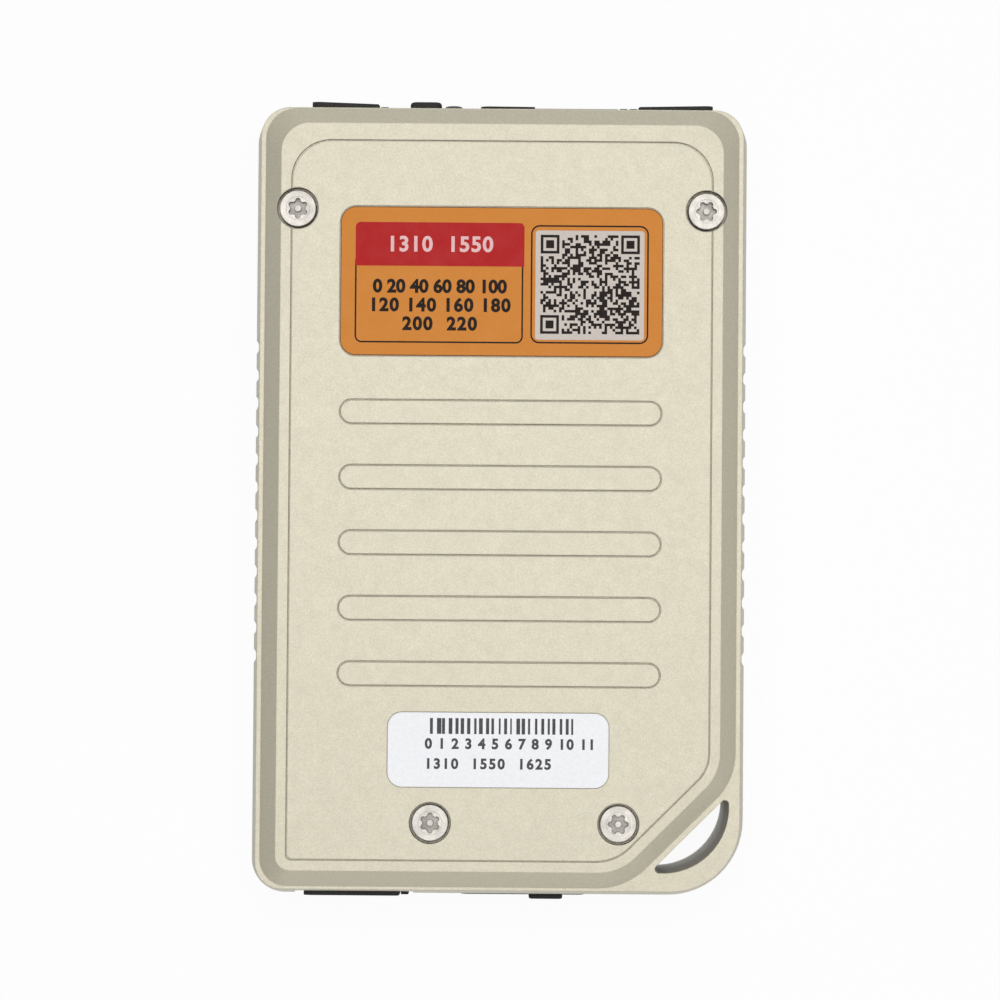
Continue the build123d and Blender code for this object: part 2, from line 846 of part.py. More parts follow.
with BuildPart() as board_screws:
    with BuildSketch(Plane.XY.offset(board_top_z)):
        with Locations(*standoff_places):
            Circle(board_screw_head)
    extrude(amount=board_screw_head_height)
    fillet(board_screws.edges().group_by(Axis.Z)[-1], board_screw_head_round)
    with BuildSketch(Plane.XY.offset(board_top_z)):
        with Locations(*standoff_places):
            Circle(board_screw_radius)
    extrude(amount=-board_screw_length)
board_screws.part.label = "board_screws"
export_step(board_screws.part, "parts/board_screws.step")

# Shield over the processor, and the buzzer beside it
with BuildPart() as shield_can:
    with BuildSketch(Plane.XY.offset(board_top_z)):
        with Locations((shield_x, shield_y)):
            RectangleRounded(shield_width, shield_length, shield_round)
    extrude(amount=shield_height)
    with BuildSketch(Plane.XY.offset(board_top_z + shield_height)):
        with Locations((shield_x, shield_y)):
            with GridLocations(vent_pitch, vent_pitch, vent_columns, vent_rows):
                Circle(vent_radius)
    extrude(amount=-vent_depth, mode=Mode.SUBTRACT)
shield_can.part.label = "shield_can"
export_step(shield_can.part, "parts/shield_can.step")

with BuildPart() as buzzer:
    with BuildSketch(Plane.XY.offset(board_top_z)):
        with Locations((buzzer_x, buzzer_y)):
            Circle(buzzer_radius)
    extrude(amount=buzzer_height)
    with BuildSketch(Plane.XY.offset(board_top_z + buzzer_height)):
        with Locations((buzzer_x, buzzer_y)):
            Circle(buzzer_hole)
    extrude(amount=-buzzer_height / 2, mode=Mode.SUBTRACT)
buzzer.part.label = "buzzer"
export_step(buzzer.part, "parts/buzzer.step")

# Optics module with its lid, and the fibre tray on top of it
with BuildPart() as optics_module:
    with BuildSketch(Plane.XY.offset(module_z)):
        with Locations((0, module_y)):
            RectangleRounded(module_width, module_length, module_round)
    extrude(amount=module_height)
optics_module.part.label = "optics_module"
export_step(optics_module.part, "parts/optics_module.step")

with BuildPart() as optics_lid:
    with BuildSketch(Plane.XY.offset(module_lid_z)):
        with Locations((0, module_y)):
            RectangleRounded(module_width, module_length, module_round)
    extrude(amount=module_lid_thickness)
    chamfer(optics_lid.edges().group_by(Axis.Z)[-1], module_lid_thickness / 3)
optics_lid.part.label = "optics_lid"
export_step(optics_lid.part, "parts/optics_lid.step")

with BuildPart() as fibre_tray:
    with BuildSketch(Plane.XY.offset(tray_z)):
        with Locations((0, tray_y)):
            RectangleRounded(tray_width, tray_length, tray_round)
    extrude(amount=tray_height)
    with BuildSketch(Plane.XY.offset(tray_z + tray_floor)):
        with Locations((0, tray_y)):
            RectangleRounded(tray_width - 2 * tray_wall, tray_length - 2 * tray_wall, tray_round - tray_wall)
    extrude(amount=tray_height - tray_floor, mode=Mode.SUBTRACT)
    with BuildSketch(Plane.XY.offset(tray_z + tray_floor)):
        with Locations((0, tray_y)):
            RectangleRounded(tray_hub_width, tray_hub_length, tray_hub_round)
    extrude(amount=coil_height)
fibre_tray.part.label = "fibre_tray"
export_step(fibre_tray.part, "parts/fibre_tray.step")

with BuildPart() as fibre_coil:
    with BuildSketch(Plane.XY.offset(tray_z + tray_floor)):
        with Locations((0, tray_y)):
            RectangleRounded(tray_hub_width + 2 * (coil_width + snug_gap),
                             tray_hub_length + 2 * (coil_width + snug_gap), tray_hub_round + coil_width)
            RectangleRounded(tray_hub_width + 2 * snug_gap, tray_hub_length + 2 * snug_gap, tray_hub_round,
                             mode=Mode.SUBTRACT)
    extrude(amount=coil_height)
fibre_coil.part.label = "fibre_coil"
export_step(fibre_coil.part, "parts/fibre_coil.step")

# Optical port: push-in adapter with keyway, ceramic sleeve and the plug behind it
with BuildPart() as otdr_adapter:
    with BuildSketch(wall_plane(mouth_y)):
        with Locations((adapter_x, parting_z)):
            Rectangle(adapter_width, adapter_height)
    extrude(amount=adapter_length)
    with BuildSketch(wall_plane(mouth_y)):
        with Locations((adapter_x, parting_z)):
            Rectangle(adapter_port_width, adapter_port_height)
        with Locations((adapter_x, parting_z + adapter_port_height / 2)):
            Rectangle(key_width, 2 * key_depth)
    extrude(amount=adapter_length - adapter_floor, mode=Mode.SUBTRACT)
    with BuildSketch(wall_plane(adapter_back_y)):
        with Locations((adapter_x, parting_z)):
            Circle(barrel_radius)
    extrude(amount=-(adapter_floor + barrel_length))
    with BuildSketch(wall_plane(adapter_back_y)):
        with Locations((adapter_x, parting_z)):
            Circle(sleeve_radius + snug_gap)
    extrude(amount=-(adapter_floor + barrel_length), mode=Mode.SUBTRACT)
otdr_adapter.part.label = "otdr_adapter"
export_step(otdr_adapter.part, "parts/otdr_adapter.step")

sleeve_length = adapter_floor + barrel_length - sleeve_setback
with BuildPart() as adapter_sleeve:
    with BuildSketch(wall_plane(adapter_back_y)):
        with Locations((adapter_x, parting_z)):
            Circle(sleeve_radius)
            Circle(ferrule_radius + ferrule_clearance, mode=Mode.SUBTRACT)
        with Locations((adapter_x, parting_z)):
            Rectangle(sleeve_slit, 2 * sleeve_radius, align=(Align.CENTER, Align.MIN), mode=Mode.SUBTRACT)
    extrude(amount=-sleeve_length)
adapter_sleeve.part.label = "adapter_sleeve"
export_step(adapter_sleeve.part, "parts/adapter_sleeve.step")

with BuildPart() as pigtail_plug:
    with BuildSketch(wall_plane(adapter_back_y)):
        with Locations((adapter_x, parting_z)):
            RectangleRounded(plug_width, plug_width, plug_round)
    extrude(amount=plug_length)
    with BuildSketch(wall_plane(plug_back_y)):
        with Locations((adapter_x, parting_z)):
            Circle(boot_radius)
    with BuildSketch(wall_plane(boot_back_y)):
        with Locations((adapter_x, parting_z)):
            Circle(boot_tip_radius)
    loft()
    with BuildSketch(wall_plane(adapter_back_y)):
        with Locations((adapter_x, parting_z)):
            Circle(ferrule_radius)
    extrude(amount=-ferrule_length)
pigtail_plug.part.label = "pigtail_plug"
export_step(pigtail_plug.part, "parts/pigtail_plug.step")

# Ferrule receptacles of the visible light source and the power meter
with BuildPart() as vfl_receptacle:
    with BuildSketch(wall_plane(mouth_y)):
        with Locations((vfl_x, parting_z)):
            Circle(vfl_radius)
    extrude(amount=receptacle_length)
    with BuildSketch(wall_plane(collar_y)):
        with Locations((vfl_x, parting_z)):
            Circle(vfl_radius + collar_overlap)
    extrude(amount=collar_thickness)
    with BuildSketch(wall_plane(mouth_y)):
        with Locations((vfl_x, parting_z)):
            Circle(ferrule_radius)
    extrude(amount=ferrule_depth, mode=Mode.SUBTRACT)
vfl_receptacle.part.label = "vfl_receptacle"
export_step(vfl_receptacle.part, "parts/vfl_receptacle.step")

with BuildPart() as vfl_laser:
    with BuildSketch(wall_plane(mouth_y - receptacle_length)):
        with Locations((vfl_x, parting_z)):
            Circle(laser_radius)
    extrude(amount=laser_length)
    chamfer(vfl_laser.edges().group_by(Axis.Y)[0], laser_radius / 5)
vfl_laser.part.label = "vfl_laser"
export_step(vfl_laser.part, "parts/vfl_laser.step")

with BuildPart() as meter_receptacle:
    with BuildSketch(wall_plane(mouth_y)):
        with Locations((meter_x, parting_z)):
            Circle(meter_radius)
    extrude(amount=receptacle_length)
    with BuildSketch(wall_plane(collar_y)):
        with Locations((meter_x, parting_z)):
            Circle(meter_radius + collar_overlap)
    extrude(amount=collar_thickness)
    with BuildSketch(wall_plane(mouth_y)):
        with Locations((meter_x, parting_z)):
            Circle(ferrule_radius)
    extrude(amount=ferrule_depth, mode=Mode.SUBTRACT)
meter_receptacle.part.label = "meter_receptacle"
export_step(meter_receptacle.part, "parts/meter_receptacle.step")

with BuildPart() as meter_photodiode:
    with BuildSketch(wall_plane(mouth_y - receptacle_length)):
        with Locations((meter_x - photodiode_shift, parting_z)):
            Circle(photodiode_radius)
    extrude(amount=photodiode_length)
meter_photodiode.part.label = "meter_photodiode"
export_step(meter_photodiode.part, "parts/meter_photodiode.step")

# Torch: button, switch, lens and lamp on a small upright board
button_back_y = button_shelf_y - button_shelf_thickness
tact_depth = button_back_y - button_travel - tact_stop_gap - tact_pip_length - key_board_face_y
with BuildPart() as key_board:
    with BuildSketch(wall_plane(key_board_face_y)):
        with Locations((key_board_left, board_top_z)):
            Rectangle(key_board_right - key_board_left, key_board_top_z - board_top_z,
                      align=(Align.MIN, Align.MIN))
    extrude(amount=key_board_thickness)
key_board.part.label = "key_board"
export_step(key_board.part, "parts/key_board.step")

with BuildPart() as torch_button:
    with BuildSketch(wall_plane(button_face_y)):
        with Locations((button_x, parting_z)):
            RectangleRounded(button_width, button_height, button_round)
    extrude(amount=button_face_y - button_back_y)
    fillet(torch_button.edges().group_by(Axis.Y)[-1], button_edge_round)
    with BuildSketch(wall_plane(button_shelf_y)):
        with Locations((button_x, parting_z)):
            Rectangle(button_width, button_height + 2 * button_shelf)
    extrude(amount=button_shelf_thickness)
torch_button.part.label = "torch_button"
export_step(torch_button.part, "parts/torch_button.step")

with BuildPart() as torch_switch:
    with BuildSketch(wall_plane(key_board_face_y)):
        with Locations((button_x, parting_z)):
            Rectangle(tact_size, tact_size)
    extrude(amount=-tact_depth)
    with BuildSketch(wall_plane(key_board_face_y + tact_depth)):
        with Locations((button_x, parting_z)):
            Circle(tact_pip_radius)
    extrude(amount=-tact_pip_length)
torch_switch.part.label = "torch_switch"
export_step(torch_switch.part, "parts/torch_switch.step")

lens_back_y = button_back_y
with BuildPart() as torch_lens:
    with BuildSketch(wall_plane(lens_face_y)):
        with Locations((lens_x, parting_z)):
            Circle(lens_radius)
    extrude(amount=lens_face_y - lens_back_y)
    fillet(torch_lens.edges().group_by(Axis.Y)[-1], lens_dome)
    with BuildSketch(wall_plane(lens_back_y)):
        with Locations((lens_x, parting_z)):
            Rectangle(2 * lens_radius, 2 * (lens_radius + lens_shelf))
    extrude(amount=-lens_shelf_thickness)
torch_lens.part.label = "torch_lens"
export_step(torch_lens.part, "parts/torch_lens.step")

with BuildPart() as torch_led:
    with BuildSketch(wall_plane(key_board_face_y)):
        with Locations((lens_x, parting_z)):
            Circle(led_radius)
    extrude(amount=-(lens_back_y - led_lens_gap - key_board_face_y))
    fillet(torch_led.edges().group_by(Axis.Y)[-1], led_radius / 2)
torch_led.part.label = "torch_led"
export_step(torch_led.part, "parts/torch_led.step")

# Battery pack under the back, held by its adhesive pad
with BuildPart() as battery_pack:
    with BuildSketch(Plane.XY.offset(battery_z)):
        with Locations((0, battery_y)):
            Rectangle(battery_width, battery_length)
    extrude(amount=battery_thickness)
    fillet(battery_pack.edges().filter_by(Axis.Y), battery_edge)
battery_pack.part.label = "battery_pack"
export_step(battery_pack.part, "parts/battery_pack.step")

with BuildPart() as battery_pad:
    with BuildSketch(Plane.XY.offset(ceiling_z - pad_thickness)):
        with Locations((0, battery_y)):
            Rectangle(battery_width - 2 * pad_border, battery_length - 2 * pad_border)
    extrude(amount=pad_thickness)
battery_pad.part.label = "battery_pad"
export_step(battery_pad.part, "parts/battery_pad.step")

# Data jack behind the foot wall
with BuildPart() as data_jack:
    with BuildSketch(wall_plane(data_face_y)):
        with Locations((data_x, board_top_z)):
            Rectangle(data_jack_width, data_jack_height, align=(Align.CENTER, Align.MIN))
    extrude(amount=-data_jack_length)
    with BuildSketch(wall_plane(data_face_y)):
        with Locations((data_x, data_cavity_low_z)):
            Rectangle(data_cavity_width, data_cavity_height, align=(Align.CENTER, Align.MIN))
            Rectangle(data_latch_width, data_cavity_height + data_latch_height,
                      align=(Align.CENTER, Align.MIN))
    extrude(amount=-data_cavity_depth, mode=Mode.SUBTRACT)
data_jack.part.label = "data_jack"
export_step(data_jack.part, "parts/data_jack.step")

# Charging socket, slide switch, its knob and the bezel round them
with BuildPart() as switch_bezel:
    with BuildSketch(wall_plane(-bezel_seat)):
        with Locations((bezel_x, bezel_z)):
            RectangleRounded(bezel_width, bezel_height, bezel_round)
    extrude(amount=bezel_face - bezel_seat)
    fillet(switch_bezel.edges().group_by(Axis.Y)[0], bezel_edge_round)
    with BuildSketch(wall_plane(-bezel_seat)):
        draw_charge_opening()
        draw_stem_slot()
    extrude(amount=bezel_face - bezel_seat, mode=Mode.SUBTRACT)
switch_bezel.part.label = "switch_bezel"
export_step(switch_bezel.part, "parts/switch_bezel.step")

charge_face_y = -(bezel_face - charge_setback)
with BuildPart() as charging_socket:
    with BuildSketch(wall_plane(charge_face_y)):
        with Locations((charge_x, charge_z)):
            SlotOverall(charge_width, charge_height)
    extrude(amount=-charge_length)
    with BuildSketch(wall_plane(charge_face_y)):
        with Locations((charge_x, charge_z)):
            SlotOverall(charge_width - 2 * charge_wall, charge_height - 2 * charge_wall)
            Rectangle(charge_tongue_width, charge_tongue, mode=Mode.SUBTRACT)
    extrude(amount=-charge_depth, mode=Mode.SUBTRACT)
charging_socket.part.label = "charging_socket"
export_step(charging_socket.part, "parts/charging_socket.step")

stem_end_y = switch_face_y + switch_slot_depth - running_gap
with BuildPart() as switch_knob:
    with BuildSketch(wall_plane(-bezel_face - knob_gap)):
        with Locations((knob_x, switch_z)):
            RectangleRounded(knob_width, knob_height, knob_round)
    extrude(amount=knob_face - bezel_face - knob_gap)
    fillet(switch_knob.edges().group_by(Axis.Y)[0], knob_edge_round)
    with BuildSketch(wall_plane(-knob_face)):
        with Locations((knob_x, switch_z)):
            with GridLocations(2 * knob_rib_width, 0, knob_rib_count, 1):
                Rectangle(knob_rib_width, knob_height - 2 * knob_round)
    extrude(amount=-knob_rib_depth, mode=Mode.SUBTRACT)
    with BuildSketch(wall_plane(-bezel_face - knob_gap)):
        with Locations((knob_x, switch_z)):
            Rectangle(knob_stem_width, knob_stem_height)
    extrude(amount=-(bezel_face + knob_gap + stem_end_y))
switch_knob.part.label = "switch_knob"
export_step(switch_knob.part, "parts/switch_knob.step")

with BuildPart() as slide_switch:
    with BuildSketch(wall_plane(switch_face_y)):
        with Locations((knob_x + knob_travel / 2, switch_z)):
            Rectangle(knob_stem_width + knob_travel + 2 * switch_margin, switch_height)
    extrude(amount=-switch_depth)
    with BuildSketch(wall_plane(switch_face_y)):
        draw_stem_slot()
    extrude(amount=-switch_slot_depth, mode=Mode.SUBTRACT)
slide_switch.part.label = "slide_switch"
export_step(slide_switch.part, "parts/slide_switch.step")

# Rubber flaps: thin at the hinge, thick at the lip, with a plug for the opening
with BuildPart() as otdr_flap:
    with BuildSketch(otdr_hinge):
        draw_hinge_end(otdr_flap_reach / 2)
        draw_flap_side(0, otdr_flap_reach, otdr_flap_lip)
    extrude(amount=otdr_flap_height / 2, both=True)
    fillet(otdr_flap.edges().filter_by(Axis.Y).group_by(Axis.X)[0], flap_round)
    with BuildSketch(otdr_hinge):
        otdr_plug_middle = otdr_hinge_x - adapter_x
        otdr_plug_half = adapter_width / 2 + adapter_gap - flap_plug_gap
        draw_plug_side(otdr_plug_middle - otdr_plug_half, otdr_plug_middle + otdr_plug_half)
    extrude(amount=adapter_height / 2 + adapter_gap - flap_plug_gap, both=True)
otdr_flap.part.label = "otdr_flap"
export_step(otdr_flap.part, "parts/otdr_flap.step")

with BuildPart() as vfl_flap:
    with BuildSketch(vfl_hinge):
        draw_hinge_end(vfl_flap_reach - vfl_flap_cap)
    extrude(amount=vfl_strap_height / 2, both=True)
    with BuildSketch(vfl_hinge):
        draw_flap_side(vfl_flap_reach - vfl_flap_cap, vfl_flap_reach, vfl_flap_lip)
    extrude(amount=vfl_flap_cap / 2, both=True)
    fillet(vfl_flap.edges().filter_by(Axis.Y).group_by(Axis.X)[0], flap_round)
    with BuildSketch(wall_plane(port_face - flap_plug_depth + flap_seat_gap)):
        with Locations((vfl_x, parting_z)):
            Circle(vfl_radius - flap_plug_gap)
    extrude(amount=-(flap_plug_depth + tether_thickness / 2))
vfl_flap.part.label = "vfl_flap"
export_step(vfl_flap.part, "parts/vfl_flap.step")

with BuildPart() as meter_flap:
    with BuildSketch(meter_hinge):
        draw_hinge_end(meter_flap_reach / 2)
        draw_flap_side(0, meter_flap_reach, meter_flap_lip)
    extrude(amount=meter_flap_height / 2, both=True)
    fillet(meter_flap.edges().filter_by(Axis.Y).group_by(Axis.X)[-1], flap_round)
    with BuildSketch(wall_plane(port_face - flap_plug_depth + flap_seat_gap)):
        with Locations((meter_x, parting_z)):
            Circle(meter_radius - flap_plug_gap)
    extrude(amount=-(flap_plug_depth + tether_thickness / 2))
meter_flap.part.label = "meter_flap"
export_step(meter_flap.part, "parts/meter_flap.step")

with BuildPart() as data_flap:
    with BuildSketch(data_hinge):
        draw_hinge_end(data_flap_reach / 2)
        draw_flap_side(0, data_flap_reach, data_flap_lip)
    extrude(amount=data_flap_height / 2, both=True)
    fillet(data_flap.edges().filter_by(Axis.Y).group_by(Axis.X)[0], flap_round)
    with BuildSketch(data_hinge):
        data_plug_middle = data_hinge_x - data_x
        data_plug_half = data_opening_width / 2 - flap_plug_gap
        draw_plug_side(data_plug_middle - data_plug_half, data_plug_middle + data_plug_half)
    extrude(amount=data_opening_height / 2 - flap_plug_gap, both=True)
data_flap.part.label = "data_flap"
export_step(data_flap.part, "parts/data_flap.step")

# Tethers: the fixed ends of the four flaps, each with a peg through the wall
with BuildPart() as flap_tethers:
    for hinge in (otdr_hinge, vfl_hinge, meter_hinge, data_hinge):
        with BuildSketch(hinge):
            with Locations((-peg_offset, 0)):
                Rectangle(tether_length, tether_thickness, align=(Align.CENTER, Align.MIN))
        extrude(amount=tether_height / 2, both=True)
        with BuildSketch(hinge):
            with Locations((-peg_offset, 0)):
                Rectangle(tether_peg, tether_peg_depth, align=(Align.CENTER, Align.MAX))
        extrude(amount=tether_peg_height / 2, both=True)
flap_tethers.part.label = "flap_tethers"
export_step(flap_tethers.part, "parts/flap_tethers.step")

# Labels in their shallow pockets
with BuildPart() as orange_label:
    with BuildSketch(Plane.XY.offset(body_depth - label_pocket)):
        with Locations((0, orange_label_y)):
            RectangleRounded(orange_label_width, orange_label_height, orange_label_round)
    extrude(amount=label_thickness)
orange_label.part.label = "orange_label"
export_step(orange_label.part, "parts/orange_label.step")

with BuildPart() as serial_label:
    with BuildSketch(Plane.XY.offset(body_depth - label_pocket)):
        with Locations((0, serial_label_y)):
            RectangleRounded(serial_label_width, serial_label_height, serial_label_round)
    extrude(amount=label_thickness)
serial_label.part.label = "serial_label"
export_step(serial_label.part, "parts/serial_label.step")
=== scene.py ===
import json
import math

import bmesh
import bpy
from mathutils import Matrix, Vector


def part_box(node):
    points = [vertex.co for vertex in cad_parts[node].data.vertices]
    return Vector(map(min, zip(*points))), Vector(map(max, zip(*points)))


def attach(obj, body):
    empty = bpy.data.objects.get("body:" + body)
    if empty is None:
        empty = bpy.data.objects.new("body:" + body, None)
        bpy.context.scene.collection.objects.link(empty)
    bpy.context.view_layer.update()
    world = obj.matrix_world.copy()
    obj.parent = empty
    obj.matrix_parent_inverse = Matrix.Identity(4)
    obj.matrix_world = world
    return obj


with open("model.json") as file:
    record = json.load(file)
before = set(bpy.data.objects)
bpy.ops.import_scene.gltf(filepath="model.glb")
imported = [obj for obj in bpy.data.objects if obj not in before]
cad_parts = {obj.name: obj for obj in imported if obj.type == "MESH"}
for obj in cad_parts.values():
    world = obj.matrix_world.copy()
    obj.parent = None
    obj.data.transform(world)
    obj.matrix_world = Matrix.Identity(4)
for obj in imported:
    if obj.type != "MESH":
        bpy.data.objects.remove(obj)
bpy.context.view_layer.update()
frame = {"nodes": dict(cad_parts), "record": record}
scene = bpy.context.scene
scene.view_settings.view_transform = "Standard"
print("frame loaded:", len(frame["nodes"]), "nodes")


# Camera: straight over the back, a little towards the foot end
photoCamera = {
    "place": (0.0, -0.022, 0.730),
    "target": (0.0, -0.0003, 0.030),
    "lens": 157.5,
    "sensor": 36.0,
    "nearest": 0.01,
    "farthest": 20.0,
    "roll": 0.45,
}
cameraData = bpy.data.cameras.new("photoCamera")
cameraData.lens = photoCamera["lens"]
cameraData.sensor_width = photoCamera["sensor"]
cameraData.clip_start = photoCamera["nearest"]
cameraData.clip_end = photoCamera["farthest"]
camera = bpy.data.objects.new("photoCamera", cameraData)
scene.collection.objects.link(camera)
scene.camera = camera
place = Vector(photoCamera["place"])
forward = (Vector(photoCamera["target"]) - place).normalized()
roll = math.radians(photoCamera["roll"])
right = forward.cross(Vector((-math.sin(roll), math.cos(roll), 0.0))).normalized()
up = right.cross(forward)
axes = Matrix((right, up, -forward)).transposed()
camera.matrix_world = Matrix.Translation(place) @ axes.to_4x4()
print("camera set")


# Studio: white world and floor behind the object, plain soft light on it
studio = {
    "worldColour": (1.0, 1.0, 1.0),
    "worldLight": 0.1,
    "floorSize": 6.0,
    "floorColour": (0.82, 0.82, 0.82),
    "floorWhite": 0.94,
    "lampAim": (0.0, 0.0, 0.015),
}
lamps = {
    "overhead": {"place": (0.0, 0.12, 1.3), "size": 0.8, "power": 12.8},
    "portEnd": {"place": (0.0, 1.1, 0.42), "size": 0.6, "power": 2.1},
    "footEnd": {"place": (0.0, -1.1, 0.42), "size": 0.6, "power": 1.85},
    "cornerSide": {"place": (0.78, -0.78, 0.42), "size": 0.6, "power": 1.8},
}


def backgroundRays(nodes, links):
    # 1 for rays that show the background: straight, mirrored or through clear pieces
    rays = nodes.new("ShaderNodeLightPath")
    seen = rays.outputs["Is Camera Ray"]
    for kind in ("Is Glossy Ray", "Is Transmission Ray"):
        either = nodes.new("ShaderNodeMath")
        either.operation = "MAXIMUM"
        links.new(seen, either.inputs[0])
        links.new(rays.outputs[kind], either.inputs[1])
        seen = either.outputs["Value"]
    return seen


world = bpy.data.worlds.new("studio")
scene.world = world
world.use_nodes = True
nodes = world.node_tree.nodes
links = world.node_tree.links
nodes.clear()
ambient = nodes.new("ShaderNodeBackground")
ambient.inputs["Color"].default_value = (*studio["worldColour"], 1.0)
ambient.inputs["Strength"].default_value = studio["worldLight"]
backdrop = nodes.new("ShaderNodeBackground")
backdrop.inputs["Color"].default_value = (1.0, 1.0, 1.0, 1.0)
backdrop.inputs["Strength"].default_value = 1.0
choice = nodes.new("ShaderNodeMixShader")
output = nodes.new("ShaderNodeOutputWorld")
links.new(backgroundRays(nodes, links), choice.inputs["Fac"])
links.new(ambient.outputs["Background"], choice.inputs[1])
links.new(backdrop.outputs["Background"], choice.inputs[2])
links.new(choice.outputs["Shader"], output.inputs["Surface"])

floorMaterial = bpy.data.materials.new("studioFloor")
floorMaterial.use_nodes = True
nodes = floorMaterial.node_tree.nodes
links = floorMaterial.node_tree.links
nodes.clear()
paper = nodes.new("ShaderNodeBsdfDiffuse")
paper.inputs["Color"].default_value = (*studio["floorColour"], 1.0)
white = nodes.new("ShaderNodeEmission")
white.inputs["Strength"].default_value = 1.0
share = nodes.new("ShaderNodeMath")
share.operation = "MULTIPLY"
share.inputs[1].default_value = studio["floorWhite"]
choice = nodes.new("ShaderNodeMixShader")
output = nodes.new("ShaderNodeOutputMaterial")
links.new(backgroundRays(nodes, links), share.inputs[0])
links.new(share.outputs["Value"], choice.inputs["Fac"])
links.new(paper.outputs["BSDF"], choice.inputs[1])
links.new(white.outputs["Emission"], choice.inputs[2])
links.new(choice.outputs["Shader"], output.inputs["Surface"])

half = studio["floorSize"] / 2
floorMesh = bpy.data.meshes.new("studioFloor")
floorCorners = [(-half, -half, 0.0), (half, -half, 0.0), (half, half, 0.0), (-half, half, 0.0)]
floorMesh.from_pydata(floorCorners, [], [(0, 1, 2, 3)])
floorMesh.materials.append(floorMaterial)
studioFloor = bpy.data.objects.new("studioFloor", floorMesh)
scene.collection.objects.link(studioFloor)

for name, lamp in lamps.items():
    lampData = bpy.data.lights.new(name, "AREA")
    lampData.shape = "DISK"
    lampData.size = lamp["size"]
    lampData.energy = lamp["power"]
    lampObject = bpy.data.objects.new(name, lampData)
    scene.collection.objects.link(lampObject)
    lampObject.location = lamp["place"]
    aim = Vector(studio["lampAim"]) - Vector(lamp["place"])
    lampObject.rotation_euler = aim.to_track_quat("-Z", "Y").to_euler()
print("studio lit")


